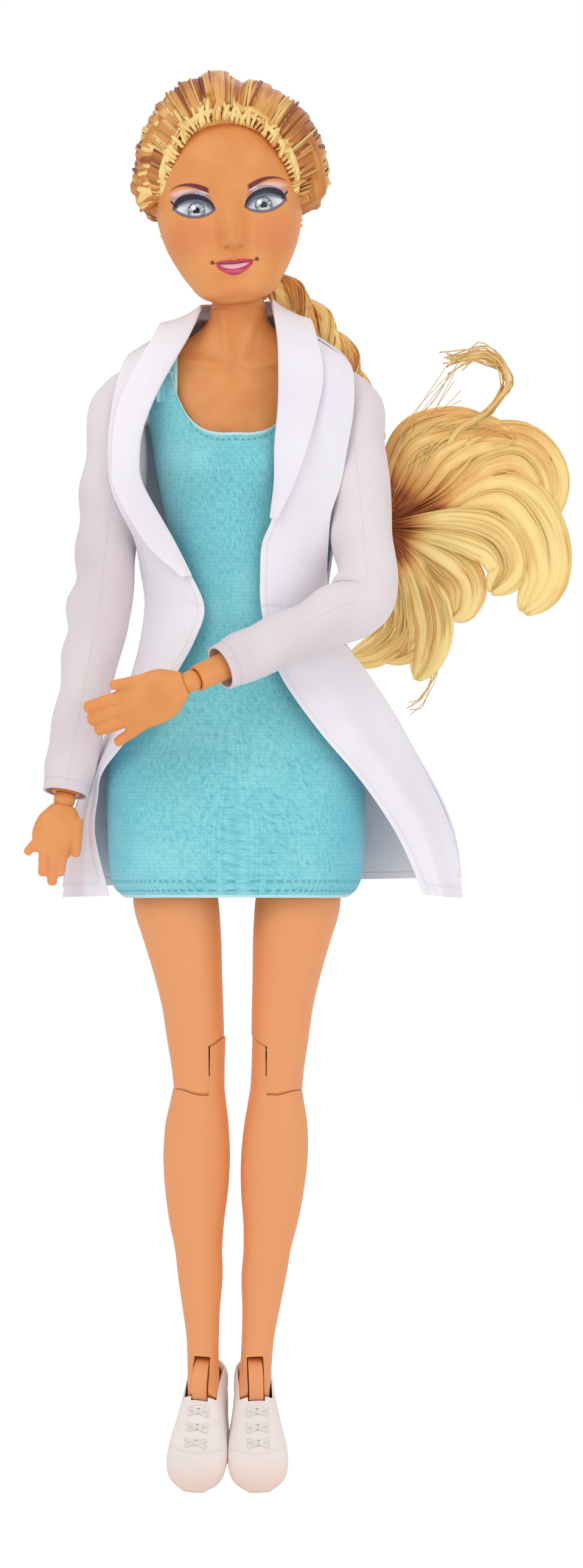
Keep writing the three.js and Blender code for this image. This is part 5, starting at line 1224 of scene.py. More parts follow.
# Rows of the twisted tail at which it leaves the head, and the neck
TWIST_ROWS, TWIST_NECK, TWIST_BACK = 150, 30, 62
# The tie: radius of a coil, half-thickness, rise from coil to coil, distance under the tail's end
TIE_COIL, TIE_CORD, TIE_STEP, TIE_UNDER = 2.9, 0.4, 0.62, 2.2
# Tones that the combed locks and the thin ones over them are drawn from
LOCK_TONES, THIN_TONES = (0.2, 0.28, 0.36, 0.46), (-0.1, 0.1, 0.5, 0.7, 0.9)


def hull_reach(direction):
    """Distance from the hull's middle to its surface along each direction, halved in on 26 times.
    Inside is |x / half|^2.2 + |(y - middle) / depth|^2.2 < 1 at the table's rows, swelled by two puffs on top."""
    near, far = np.zeros(direction.shape[:-1]), np.full(direction.shape[:-1], 45.0)
    for _ in range(26):
        mid = (near + far) / 2
        p = HULL_MIDDLE + direction * mid[..., None]
        half, front, back = np.moveaxis(rows_at(HAIR, np.clip(p[..., 2], HULL_LOW, HULL_HIGH - 0.01)), -1, 0)
        centre, depth = (back - front) / 2, np.maximum((back + front) / 2, 0.5)
        gauge = np.abs((p[..., 0] - HAIR_ASIDE) / half) ** 2.2 + np.abs((p[..., 1] - centre) / depth) ** 2.2
        inside = (gauge < 1) & (p[..., 2] > HULL_LOW) & (p[..., 2] < HULL_HIGH)
        near, far = np.where(inside, mid, near), np.where(inside, far, mid)
    x, z = direction[..., 0], direction[..., 2]
    puffs = 0.3 * bump(x + 0.35, 0.25) - 0.9 * bump(x - 0.42, 0.28) - 2.0 * bump(x - 0.16, 0.07)
    return near + puffs * ramp(z, 0.55, 0.9)


def on_hull(direction, lift=0.0):
    """Points on the hull along directions, lifted off it."""
    direction = unit(direction)
    return HULL_MIDDLE + direction * (hull_reach(direction) + lift)[..., None]


def hairline(angle):
    """A point of the face opening's edge, on the head: an ellipse in x and z, low at the ears."""
    x, z = HAIRLINE[0] * np.cos(angle), HAIRLINE[1] + HAIRLINE[2] * np.sin(angle)
    half, front, back = rows_at(HEAD, z).T
    depth = (back + front) / 2
    y = (back - front) / 2 - depth * np.clip(1 - np.abs(x / (half + 0.4)) ** 2.2, 0.0, 1) ** (1 / 2.2)
    return joined(x, y, z)


def flow(angle, count, lift):
    """A strand's way: from the hairline outwards, over the hull and down to the nape."""
    root = hairline(np.array([angle]))[0]
    outer = np.array([math.cos(angle), 0.12, math.sin(angle)])
    first, last = unit(root - HULL_MIDDLE), unit(NAPE - HULL_MIDDLE)
    rear = unit(np.array([0.75 * math.cos(angle), 1.0, 0.45 * math.sin(angle)]))
    path = smooth_path([first, unit(first * 0.5 + unit(outer)), unit(outer), rear, last], count)
    return on_hull(path, lift)


def fibre_tube(line, side, wide, deep, columns, ridges=0, depth=0.0, phase=0.0):
    """A lock: a flattened tube whose radius ripples round it, as bundled fibres do."""
    grid = tube_grid(line, side, wide, deep, columns)
    if ridges:
        angle = turns(columns)[None, :, None]
        along = np.linspace(0, 1, len(line))[:, None, None]
        ripple = 1 + depth * np.cos(ridges * angle + phase + 5 * along) * (0.7 + 0.3 * np.cos(11 * along + phase))
        grid = line[:, None] + (grid - line[:, None]) * ripple
    return grid


def taper(count, start=0.1, end=0.15, low=0.12):
    """1 along a lock, falling to low over its first and last shares."""
    t = np.linspace(0, 1, count)
    opening = np.sqrt(np.clip(t / start, 0, 1))
    closing = np.sqrt(np.clip((1 - t) / end, 0, 1))
    return low + (1 - low) * np.minimum(opening, closing)


def scalp_grid():
    """The hull itself as a closed skin, finely combed towards the nape."""
    turn = np.linspace(0.03, np.pi - 0.35, 110)[:, None]
    angle = turns(260)[None, :]
    combed = 0.16 * np.cos(52 * angle + 3 * np.sin(5 * turn)) * np.sin(turn)
    return on_hull(ball_ways(turn, angle), combed - 0.9)


def crown_locks(rng, count, wide, lift, columns, rows, tones):
    """Combed locks over the hull, side by side from ear to ear."""
    locks = []
    for k in range(count):
        angle = -0.06 + (math.pi + 0.12) * (k + 0.5 + rng.uniform(-0.35, 0.35)) / count
        line = flow(angle, rows, lift + rng.uniform(-0.35, 0.35))
        wave = np.sin(np.linspace(0, rng.uniform(6, 11), rows) + rng.uniform(0, 6))[:, None]
        line = line + 0.6 * wave * rng.normal(0, 0.6, 3)
        outward = unit(line - HULL_MIDDLE)
        across = np.cross(tangents(line), outward)
        size = wide * rng.uniform(0.75, 1.25) * taper(rows, 0.04, 0.25, 0.3)
        grid = fibre_tube(line, across, size, 0.45 * size + 0.12, columns, 5, 0.1, rng.uniform(0, 6))
        locks.append((rng.choice(tones) + rng.uniform(-0.06, 0.06), grid))
    return locks


def roll_locks(rng, side):
    """One swept roll beside the hairline, from the parting to the ear: a core that swells at the top and narrows to a
    rounded end, wound with short locks."""
    rows = 110
    line = smooth_path(ROLLS[side], rows)
    t = np.linspace(0, 1, rows)
    size = np.interp(t, [0, 0.08, 0.24, 0.45, 0.7, 0.9, 1], [1.2, 2.8, 4.1, 3.7, 3.0, 2.7, 2.2])
    if side > 0:
        size = size * 0.93
    size = size * np.sqrt(np.clip((1.01 - t) / 0.06, 0.03, 1))
    grid = tube_grid(line, [0, 1, 0], size * 0.82, size, 64)
    angle = turns(64)[None, :]
    # Strands wind round the roll: grooves whose phase advances along it and round it
    far = t[:, None]
    wind = 0.03 * np.cos(97 * far + 9 * np.sin(7 * far) + 2 * side * angle) + 0.02 * np.cos(171 * far - angle)
    grid = line[:, None] + (grid - line[:, None]) * (1 + wind)[..., None]
    locks = [(0.36, grid)]
    forward = tangents(line)
    across = unit(np.cross(forward, [0.0, 1.0, 0.0]))
    other = np.cross(forward, across)
    for _ in range(120):
        row = int(rng.uniform(0.04, 0.95) * (rows - 1))
        turn = np.linspace(rng.uniform(-0.9, 0.6), rng.uniform(2.0, 3.2), 18)
        slip = np.linspace(-1, 1, 18) * rng.uniform(0.4, 2.4) * np.sign(rng.uniform(-0.3, 1))
        radius = size[row] * rng.uniform(0.88, 0.98)
        centre = line[row]
        ring = across[row] * np.cos(turn)[:, None] * radius * -side
        ring = ring - 0.82 * radius * other[row] * np.sin(turn)[:, None] * side
        path = centre + ring + forward[row] * slip[:, None]
        width = rng.uniform(0.25, 0.95) * taper(18, 0.2, 0.3, 0.25)
        grid = fibre_tube(path, forward[row], width, width * 0.4, 8, 3, 0.12, rng.uniform(0, 6))
        locks.append((rng.choice([0.12, 0.3, 0.45, 0.6, 0.85]), grid))
    return locks


def band_locks(rng, side):
    """The smooth band beside the hairline: pale fibres that run along it from the parting to the ear, a painted
    highlight.
    """
    angle = np.linspace(math.pi / 2 - side * 0.06, math.pi / 2 - side * 1.72, 60)
    rim = hairline(angle)
    away = joined(np.cos(angle), 0, np.sin(angle))
    t = np.linspace(0, 1, 60)
    locks = []
    for k in range(22):
        out = (1.9 + 0.5 * np.sin(3 * t)) + rng.uniform(-1.3, 1.5) * (0.5 + 0.5 * np.sin(np.pi * t))
        out = out + 0.25 * np.sin(rng.uniform(6, 12) * t + rng.uniform(0, 6))
        line = on_hull(rim + away * out[:, None] + [0, -2.0, 0] - HULL_MIDDLE, 0.35 + rng.uniform(-0.2, 0.35))
        first = int(rng.uniform(0, 40))
        last = first + int(rng.uniform(14, 20))
        line = line[first:last]
        size = (rng.uniform(0.5, 0.8) if k < 8 else rng.uniform(0.15, 0.4)) * taper(len(line), 0.15, 0.2, 0.25)
        grid = fibre_tube(line, away[first:last], size, size * 0.75, 8, 3, 0.12, rng.uniform(0, 6))
        # Pale tones: the band is a painted highlight
        locks.append((rng.uniform(0.6, 1.05), grid))
    return locks


def root_ridges(rng):
    """Short rooted tufts that leave the hairline and turn up into the rolls, with the dark roots between them."""
    locks = []
    for k in range(132):
        angle = -0.12 + (math.pi + 0.24) * (k + rng.uniform(-0.3, 0.3)) / 131
        root = hairline(np.array([angle]))[0]
        away = np.array([math.cos(angle), 0.0, math.sin(angle)])
        lean = rng.normal(0, 0.7)
        dark = k % 2
        reach = rng.uniform(0.45, 0.7) if dark else rng.uniform(0.5, 1.05)
        ways = (0.4, 1.8, 3.4, 4.8) if dark else (0.4, 2.2, 4.4, 6.4)
        steps = [root + away * far * reach + [lean * far * 0.4, -2.0, 0] - HULL_MIDDLE for far in ways]
        lifts = np.array([0.35, 0.65, 0.5, 0.1]) if dark else np.array([0.4, 0.85, 0.9, 0.1])
        line = [root + [0, 0.5, 0] - away * (0.1 + 0.25 * dark), *on_hull(np.array(steps), lifts + 0.12 * dark)]
        line = smooth_path(line, 14)
        size = (rng.uniform(0.16, 0.26) if dark else rng.uniform(0.3, 0.55)) * taper(14, 0.25, 0.3, 0.3)
        grid = fibre_tube(line, np.cross(away, [0, 1, 0]), size, size * 0.8, 8, 3, 0.1, rng.uniform(0, 6))
        locks.append((rng.uniform(-0.3, 0.1) if dark else rng.uniform(0.42, 0.95), grid))
    return locks


def parting_locks(rng):
    """The S-shaped locks that cross at the parting."""
    locks = []
    for tone, size, points in CURLS:
        for k in range(4):
            line = smooth_path(np.array(points) + rng.normal(0, 0.35, 3), 26)
            grid = fibre_tube(line, [1, 0, 0.4], size * 0.6 * taper(26, 0.2, 0.2, 0.3), size * 0.45, 12, 5, 0.1, k)
            locks.append((tone + rng.uniform(-0.1, 0.1), grid))
    return locks


def in_head(grid):
    """A grid of the head's own axes, at its place."""
    return into(HEAD_AXES, grid)


def hair_piece(name, locks, move=lambda grid: grid):
    """Locks with their tones as one mesh."""
    return surface(name, [move(grid) for _, grid in locks], tones=[tone for tone, _ in locks])


def twist_strands(rng, rows=TWIST_ROWS):
    """The twisted tail: two thick strands and their fibres wound round one line."""
    line = smooth_path(TWIST, rows)
    forward = tangents(line)
    across = unit(np.cross(forward, [0.3, 1.0, 0.2]))
    other = np.cross(forward, across)
    t = np.linspace(0, 1, rows)
    wind = 2 * np.pi * 3.1 * t + 0.7
    size = np.interp(t, [0, 0.1, 0.5, 0.85, 1], [3.0, 3.1, 2.75, 2.3, 1.5])
    locks = []
    for k in range(2):
        turn = wind + np.pi * k
        middle = line + (across * np.cos(turn)[:, None] + other * np.sin(turn)[:, None]) * (size * 0.52)[:, None]
        locks.append((0.8 - 0.3 * k, fibre_tube(middle, across, size * 0.66, size * 0.62, 40, 9, 0.07, k)))
        for _ in range(22):
            spin, out = turn + rng.uniform(0, 2 * np.pi), rng.uniform(0.6, 0.69)
            path = middle + (across * np.cos(spin)[:, None] + other * np.sin(spin)[:, None]) * (size * out)[:, None]
            thin = rng.uniform(0.1, 0.26) * taper(rows, 0.03, 0.05, 0.3)
            locks.append((rng.uniform(0.1, 1.0), tube_grid(path, across, thin, thin, 4)))
    return locks


def tail_locks(rng, path, width, tone):
    """One broad lock of the loose tail, from the tie outwards, with fibres over both faces."""
    rows = 42
    line = smooth_path(path, rows)
    t = np.linspace(0, 1, rows)
    flat = unit(np.cross(tangents(line), [0.0, 1.0, 0.0]))
    spread = width / 2 * np.minimum(1, 0.16 + 1.5 * t) * np.clip(1 - t**6, 0.02, 1) ** 0.6
    locks = []
    for k in range(6):
        offset = (k - 2.5) / 2.5
        wave = 0.5 * np.sin(5 * t + k * 1.7 + width) * t
        middle = line + flat * (offset * spread * 0.82 + wave)[:, None]
        middle[:, 1] += (rng.uniform(-0.9, 0.9) + 0.25 * np.sin(6 * t + k)) * np.minimum(1, 3 * t)
        size = spread * 0.32 + 0.12
        grid = fibre_tube(middle, flat, size, size * 0.5 + 0.1, 14, 5, 0.12, rng.uniform(0, 6))
        locks.append((tone + rng.uniform(-0.14, 0.14), grid))
    for _ in range(30):
        offset = rng.uniform(-1.04, 1.04)
        wave = rng.uniform(0.2, 0.9) * np.sin(rng.uniform(3, 7) * t + rng.uniform(0, 6)) * t
        middle = line + flat * (offset * spread + wave)[:, None]
        middle[:, 1] += rng.choice([-1, -1, 1]) * (0.16 * spread + 0.5) + 0.2 * np.sin(8 * t)
        cut = int(rows * rng.uniform(0.75, 1))
        thin = rng.uniform(0.08, 0.2) * taper(cut, 0.05, 0.3, 0.2)
        locks.append((tone + rng.uniform(-0.35, 0.4), tube_grid(middle[:cut], flat[0], thin, thin, 4)))
    return locks


def stray(rng, points, count, thick, spread):
    """Loose single fibres scattered round one path."""
    locks = []
    away = np.linspace(0.1, spread, len(points))[:, None]
    for _ in range(count):
        line = smooth_path(np.array(points, float) + rng.normal(0, 1, (len(points), 3)) * away, 26)
        locks.append((rng.uniform(0.5, 1.0), tube_grid(line, [0, 1, 0], thick * taper(26, 0.05, 0.4, 0.3), thick, 4)))
    return locks


# ---------------------------------------------------------------- cloth


def cloth(name, patches, wall):
    """One cloth piece from patches P[row, column] with coordinates UV[row, column] and edge distances: an outer and
    an inner face, wall apart along the patch's own normals, with walls along the patch's borders."""
    verts, faces, uvs, edges, base = [], [], [], [], 0
    for points, uv, edge in patches:
        rows, columns = points.shape[:2]
        along_rows = np.gradient(points, axis=0)
        along_columns = np.gradient(points, axis=1)
        normal = unit(np.cross(along_columns, along_rows))
        flat = np.linalg.norm(np.cross(along_columns, along_rows), axis=-1) < 1e-5
        normal[flat] = 0
        quads = grid_faces(rows, columns, False)
        corners = points.reshape(-1, 3)[quads]
        area = np.linalg.norm(np.cross(corners[:, 2] - corners[:, 0], corners[:, 3] - corners[:, 1]), axis=1)
        quads = quads[area > 1e-5]
        size = rows * columns
        index = np.arange(size).reshape(rows, columns)
        loop = np.concatenate([index[0, :-1], index[:-1, -1], index[-1, :0:-1], index[:0:-1, 0]])
        after = np.roll(loop, -1)
        p = points.reshape(-1, 3)
        keep = np.linalg.norm(p[loop] - p[after], axis=1) > 1e-5
        wall_faces = np.stack([loop, loop + size, after + size, after], axis=1)[keep]
        verts.append(np.vstack([p + normal.reshape(-1, 3) * wall / 2, p - normal.reshape(-1, 3) * wall / 2]))
        every = np.vstack([quads, quads[:, ::-1] + size, wall_faces])
        flat_uv = np.vstack([uv.reshape(-1, 2)] * 2)
        uvs += flat_uv[every].reshape(-1, 2).tolist()
        edges.append(np.tile(edge.reshape(-1), 2))
        faces += (every + base).tolist()
        base += 2 * size
    obj = mesh_object(name, np.vstack(verts), faces, uvs)
    layer = obj.data.attributes.new("edge", "FLOAT", "POINT")
    layer.data.foreach_set("value", np.concatenate(edges).astype(np.float32))
    return crisp(obj, 50)


def ring_ramp(ring_a, ring_b):
    """A direction and two distances along it: from the last point of one ring to the first point of another."""
    way = unit(ring_b.mean(0) - ring_a.mean(0))
    low, high = (ring_a @ way).max(), (ring_b @ way).min()
    if high - low < 1.0:
        middle = (low + high) / 2
        low, high = middle - 0.5, middle + 0.5
    return way, low, high


def blend_over(obj, a, b, way, low, high):
    """Works the piece's place into its mesh; the two bodies and the stretch of a direction are not used."""
    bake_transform(obj)


# Where the skirt's boxy section starts, and the run of heights over which it grows
SKIRT_BOX, SKIRT_BOX_RUN = -26, 20
HEM, SKIRT_TOP = DRESS[0][0], -36.0
# The skirt's middle strip widens by SKIRT_STRIP over SKIRT_RUN of height
SKIRT_STRIP, SKIRT_RUN = 5, 12
# The coat's pieces meet where |x| has gone as far through these distances from the middle as z through these heights
COAT_RAMP_X, COAT_RAMP_Z = (14, 25), (9, 30)
COAT_SLOPE = (COAT_RAMP_X[1] - COAT_RAMP_X[0]) / (COAT_RAMP_Z[1] - COAT_RAMP_Z[0])
# Lengths in millimetres that turn a share of a piece's height into a distance from its hem or cuff
COAT_LENGTH, SLEEVE_LENGTH = 110, 90
# Powers of the arch that the coat's back makes over its half-width
ARCH_SPREAD, ARCH_POWER = 0.85, 2.5
# Middle and half-width of a shoulder strap, and its depth and height from front to back
STRAP_AT, STRAP_HALF = 14.6, 2.2
STRAP = [(-7.8, 43.5), (-7.1, 48), (-5.6, 52.8), (0, 57), (5.8, 53), (7.1, 48), (7.8, 43.5)]
# Courses of the knit, and how far from the rim the rows of stitches run
COURSES, RIM_ROW, HEM_ROW, COAT_ROW, CUFF_ROW = 150, 1.5, 3.4, 1.3, 2.2
# Rings of a sleeve before, at and after the elbow
SLEEVE_BEND = 74, 94, 124


def boxy(z):
    """How far the skirt's section is from rounded (0) to boxy (1) at a height, and the section's power."""
    share = np.clip((SKIRT_BOX - z) / SKIRT_BOX_RUN, 0, 1)
    return share, 2.3 + 1.3 * share


def dress_at(angle, z):
    """A point of the dress by its angle round the body and its height: the table's rounded rings, with soft folds
    in front near the hem and the bust's two bells."""
    half, front, back = np.moveaxis(rows_at(DRESS, z), -1, 0)
    c, s = np.cos(angle), np.sin(angle)
    low, power = boxy(z)
    turn = np.mod(angle, 2 * np.pi) / (2 * np.pi)
    fold = np.where(s < 0, low * 0.5 * np.sin(10 * np.pi * turn + 0.6), 0)
    x = power_of(c, power) * half
    y = power_of(s, power) * (np.where(s < 0, front, back) + fold)
    bust = BUST_DEPTH * bump(np.abs(x) - BUST_SIDE, BUST_WIDTH) * bump(z - BUST_HEIGHT, BUST_SPREAD)
    # Soft sideways pleats over the waist and one crease where the skirt starts
    pleat = 0.22 * np.sin(z * 0.9 + 2.2 * x / half) * bump(z - 2, 9) + 0.35 * bump(z + 30.5 + 0.05 * x, 1.6)
    y = y - np.where(s < 0, bust + s * pleat, 0)
    return joined(x, y, z)


def dress_top(angle):
    """Height of the dress's top edge round the body."""
    turn = np.mod(np.degrees(angle), 360)
    half_turn = np.mod(turn, 180)
    folded = np.where(half_turn > 90, 180 - half_turn, half_turn)
    front, back = rows_at(NECKLINE_FRONT, folded)[..., 0], rows_at(NECKLINE_BACK, folded)[..., 0]
    return np.where(turn >= 180, front, back)


def dress_patch(angle, z, edge):
    """A patch of the dress with its coordinates: once round the body, and up by 120 mm."""
    return dress_at(angle, z), joined(angle / (2 * np.pi), (z - HEM) / 120), edge


def bodice_patches():
    """The dress above the skirt, one patch right round, and the two shoulder straps."""
    angle = np.linspace(0, 2 * np.pi, 321)[None, :]
    v = np.linspace(0, 1, 110)[:, None]
    top = dress_top(angle)
    z = SKIRT_TOP + (top - SKIRT_TOP) * v
    patches = [dress_patch(angle + 0 * z, z, top - z)]
    t, w = np.linspace(0, 1, 60)[:, None], np.linspace(-STRAP_HALF, STRAP_HALF, 14)[None, :]
    y, high = rows_at(numbered(STRAP), t[:, 0]).T
    slope = 0.8 * np.maximum(0, 1 - np.abs(t - 0.5) * 2.4)
    for side in (-1, 1):
        points = joined(side * (STRAP_AT + w), y[:, None] * 1.02, high[:, None] + 0.1 - w * slope)
        if side > 0:
            points = points[:, ::-1]
        uv = joined(0.1 + w / 130, t * 0.3)
        patches.append((points, uv, STRAP_HALF - np.abs(w) + 0 * t))
    return patches


def skirt_patches(side):
    """One side of the skirt, cut along the slanting line |x| / SKIRT_STRIP = (SKIRT_TOP - z) / SKIRT_RUN that its two
    pieces share: the outer one goes round the side seam, the inner one from the line to the middle, front and back."""
    z = np.linspace(HEM, SKIRT_TOP, 50)[:, None]
    half = rows_at(DRESS, z[:, 0])[:, :1]
    line = np.clip((SKIRT_TOP - z) * SKIRT_STRIP / SKIRT_RUN, 0, None)
    cut = np.arccos(np.clip((line / half) ** (boxy(z)[1] / 2), 0, 1))
    outer = np.linspace(-1, 1, 100)[None, :] * cut
    inner = np.linspace(0, 1, 30)[None, :]
    front_in = -cut + (cut - np.pi / 2) * inner
    back_in = cut + (np.pi / 2 - cut) * inner
    patches = []
    for angle in (outer, front_in[:, ::-1], back_in):
        if side < 0:
            angle = (np.pi - angle)[:, ::-1]
        patches.append(dress_patch(angle, z + 0 * angle, z - HEM + 0 * angle))
    return patches[:1], patches[1:]


def front_panel(key, u, v):
    """A coat front: straight across between the opening edge and the outer edge, curving back with u^1.8,
    with folds that fade upwards from the hem and a softly rolled edge."""
    rows = rows_at(numbered(COAT_FRONT[key]), v[:, 0])
    x0, y0, z0, x1, y1, z1 = (rows[:, k : k + 1] for k in range(6))
    fold = 0.8 if key == "r" else 1.4
    low = np.maximum(0, 1 - 2.4 * v)
    wave = fold * low * np.sin(9.5 * u) * np.sin(np.pi * np.minimum(1, 1.02 * u))
    soft = 0.3 * np.sin(14 * v + 6 * u) * np.sin(np.pi * u) * (1 - low)
    return joined(x0 + (x1 - x0) * u, y0 + (y1 - y0) * u**1.8 + wave + soft, z0 + (z1 - z0) * u)


def back_panel(key, u, v):
    """Half of the coat's back, from its middle (u = 0) to its side edge: a flat-topped arch, with folds that fade
    upwards."""
    rows = rows_at(numbered(COAT_BACK), v[:, 0])
    x0, y0, z0, x1, y1, z1, depth = (rows[:, k : k + 1] for k in range(7))
    across = np.sin(np.pi / 2 * u) ** ARCH_SPREAD
    bulge = np.clip(1 - across**ARCH_POWER, 0, 1) ** (1 / ARCH_POWER)
    turn = 0.5 + SIDES[key] * u / 2
    wave = 1.3 * np.maximum(0, 1 - 2.2 * v) * np.sin(25 * turn) * np.sin(np.pi * turn)
    t = (SIDES[key] * across + 1) / 2
    side_y = y0 + (y1 - y0) * t
    return joined(x0 + (x1 - x0) * t, side_y + (depth - side_y) * bulge + wave, z0 + (z1 - z0) * t)


def shoulder_patches(panel, cut, v, wide, edge, flip):
    """A coat panel in two pieces that meet on the line along which |x| has gone as far through COAT_RAMP_X as z through
    COAT_RAMP_Z."""
    patches = []
    for u in (cut + (1 - cut) * np.linspace(0, 1, 56)[None, :], np.linspace(0, 1, 40)[None, :] * cut):
        full = np.flatnonzero(np.ptp(u, axis=1) > 1e-6)
        used = slice(max(full[0] - 1, 0), full[-1] + 2)
        patch = (panel(u, v)[used], joined(u * wide, v)[used], (edge(u) + 0 * u)[used])
        patches.append([tuple(p[:, ::-1] for p in patch) if flip else patch])
    return patches


def coat_cut(x0, z0, x1, z1):
    """Share of the way from one edge of a panel to the other at which its two pieces meet."""
    return (COAT_RAMP_X[0] + COAT_SLOPE * (z0 - COAT_RAMP_Z[0]) - x0) / (x1 - x0 - COAT_SLOPE * (z1 - z0))


def front_patches(key):
    """The outer and the inner piece of a coat front."""
    v = np.linspace(0, 1, 150)[:, None]
    rows = rows_at(numbered(COAT_FRONT[key]), v[:, 0])
    x0, z0, x1, z1 = (np.abs(rows[:, 0:1]), rows[:, 2:3], np.abs(rows[:, 3:4]), rows[:, 5:6])
    cut = np.where(z0 < 0, 0, np.clip(coat_cut(x0, z0, x1, z1), 0, 1))
    edge = lambda u: np.minimum(u * np.abs(x1 - x0), v * COAT_LENGTH)
    return shoulder_patches(lambda u, v: front_panel(key, u, v), cut, v, 0.28, edge, key == "r")


def back_patches(key):
    """The outer and the inner piece of half of the coat's back."""
    side, v = SIDES[key], np.linspace(0, 1, 130)[:, None]
    rows = rows_at(numbered(COAT_BACK), v[:, 0])
    x0, z0, x1, z1 = (side * rows[:, 0:1], rows[:, 2:3], side * rows[:, 3:4], rows[:, 5:6])
    across = np.clip(side * (2 * coat_cut(x0, z0, x1, z1) - 1), 0, 1)
    cut = np.where(np.minimum(z0, z1) < 0, 0, np.arcsin(across ** (1 / ARCH_SPREAD)) * 2 / np.pi)
    return shoulder_patches(lambda u, v: back_panel(key, u, v), cut, v, 0.275, lambda u: v * COAT_LENGTH, side > 0)


def collar_patches():
    """The shawl collar: a ribbon round the neck between its inner and outer edges, rolled out in the middle."""
    u, v = np.linspace(0, 1, 26)[None, :], np.linspace(0, 1, 220)[:, None]
    rows = rows_at(numbered(COLLAR), v[:, 0])
    inner, outer = rows[:, None, :3], rows[:, None, 3:]
    points = inner + (outer - inner) * u[..., None]
    away = unit(np.cross(np.gradient(rows[:, :3], axis=0), rows[:, 3:] - rows[:, :3]))[:, None]
    points = points - away * (0.45 * np.sin(np.pi * u) ** 0.8)[..., None]
    edge = np.minimum(u, 1 - u) * np.linalg.norm(outer - inner, axis=-1)
    uv = joined(u * 0.1, v)
    return [(points[:, ::-1], uv[:, ::-1], (edge + 0 * v)[:, ::-1])]


def sleeve_stations(key):
    """Middles and radii down a sleeve: over the shoulder, along the upper arm, round the elbow, to the cuff."""
    side, shoulder, elbow, wrist = SIDES[key], SHOULDER[key], ELBOW[key], WRIST[key]
    upper, fore = elbow - shoulder, wrist - elbow
    reach, lower = np.linalg.norm(upper), np.linalg.norm(fore)
    up, down = upper / reach, fore / lower
    stations = []
    for degrees in (2, 28, 50, 70):
        s, c = math.sin(math.radians(degrees)), math.cos(math.radians(degrees))
        offset = np.array([side * s * SLEEVE_ARC, up[1] * 8 * s, c * SLEEVE_ARC])
        stations.append((ARMHOLE[key] + offset, SLEEVE_CAP))
    for share in (0.26, 0.45, 0.64, 0.8):
        stations.append((shoulder + upper * share, SLEEVE_ARM + 0.25 * math.sin(20 * share)))
    bend = math.acos(float(np.clip(up @ down, -1, 1)))
    cut = SLEEVE_ARC * math.tan(bend / 2)
    if bend > 0.5:
        before, after = elbow - up * cut, elbow + down * cut
        for t in (0, 0.5, 1):
            point = before * (1 - t) ** 2 + 2 * elbow * t * (1 - t) + after * t * t
            stations.append((point, SLEEVE_ELBOW))
    else:
        stations.append((elbow, SLEEVE_ELBOW))
    begin = max(cut + 4, 10)
    for t in (0, 0.35, 0.7, 1):
        size = SLEEVE_FOREARM + (SLEEVE_CUFF - SLEEVE_FOREARM) * t**1.4
        stations.append((elbow + down * (begin + (CUFF_AT[key] - begin) * t), size))
    return stations


def sleeve_grid(key, rows=200, columns=72):
    """Rings round the sleeve's line with slack folds: more on the inside of the elbow and at the armhole."""
    stations = sleeve_stations(key)
    line = smooth_path([p for p, _ in stations], rows)
    points = np.array([p for p, _ in stations])
    length = np.concatenate([[0], np.cumsum(np.linalg.norm(np.diff(points, axis=0), axis=1))])
    t = np.linspace(0, 1, rows)
    size = np.interp(t, length / length[-1], [r for _, r in stations])
    grid = tube_grid(line, [0, -1, 0] if key == "r" else [0, -1, 0.2], size, size, columns)
    angle = turns(columns)[None, :]
    at = t[:, None]
    slack = 0.5 * bump(at - 0.52, 0.16) + 0.22
    folds = slack * np.sin(46 * at + 2.2 * np.sin(angle + 0.8)) * (0.55 + 0.45 * np.cos(angle - 1.2))
    folds += 0.3 * np.sin(19 * at + 2 * angle) * ramp(at, 0.05, 0.2)
    folds = folds * ramp(at, 0.0, 0.06) * ramp(at, 1.0, 0.93)
    return line[:, None] + (grid - line[:, None]) * (1 + folds / size[:, None])[..., None]


# ---------------------------------------------------------------- add-on


def tint(name, description, red, green, blue):
    """A colour property whose default is given in screen values."""
    default = colour(red, green, blue)
    return bpy.props.FloatVectorProperty(
        name=name, description=description, subtype="COLOR", size=3, min=0, max=1, default=default
    )


class DollColours(bpy.types.PropertyGroup):
    """Colours of the doll's plastics, hair and cloth."""

    skin: tint("Skin", "Colour of the body's plastic in the light", 234, 158, 93)
    # Also laid as painted shade down the inner side of the right leg
    skin_deep: tint("Skin, deep", "Colour of the body's plastic in its darker mottling", 227, 148, 83)
    skin_legs: tint("Skin, legs", "Lighter plastic of the legs", 240, 162, 107)
    hair_light: tint("Hair, light", "Lightest fibres", 255, 226, 150)
    hair: tint("Hair", "Most of the fibres", 238, 182, 104)
    hair_dark: tint("Hair, dark", "Fibres between the locks", 204, 130, 58)
    hair_deep: tint("Hair, deep", "Fibres in the depth of a lock", 148, 70, 24)
    knit: tint("Dress", "Yarn of the dress", 147, 225, 232)
    # Also laid, dimmed, as painted shade between the stitches
    knit_dark: tint("Dress, dark", "Darker flecks of the yarn", 116, 205, 219)
    knit_light: tint("Dress, light", "Lighter patches of the knit", 172, 238, 244)
    coat: tint("Coat", "Cloth of the coat", 247, 243, 249)
    coat_shade: tint("Coat, shade", "Cooler patches of the cloth", 240, 235, 245)
    sleeve: tint("Sleeves", "Cloth of the sleeves", 236, 226, 229)
    sleeve_shade: tint("Sleeves, shade", "Rosier patches of the sleeves", 226, 213, 218)
    shoe: tint("Shoe", "Plastic of the shoes", 243, 233, 228)
    shoe_shade: tint("Shoe, shade", "Greyer patches of the plastic", 232, 220, 216)
    shoe_toe: tint("Shoe, toe", "Rosy plastic at the toe", 240, 212, 198)


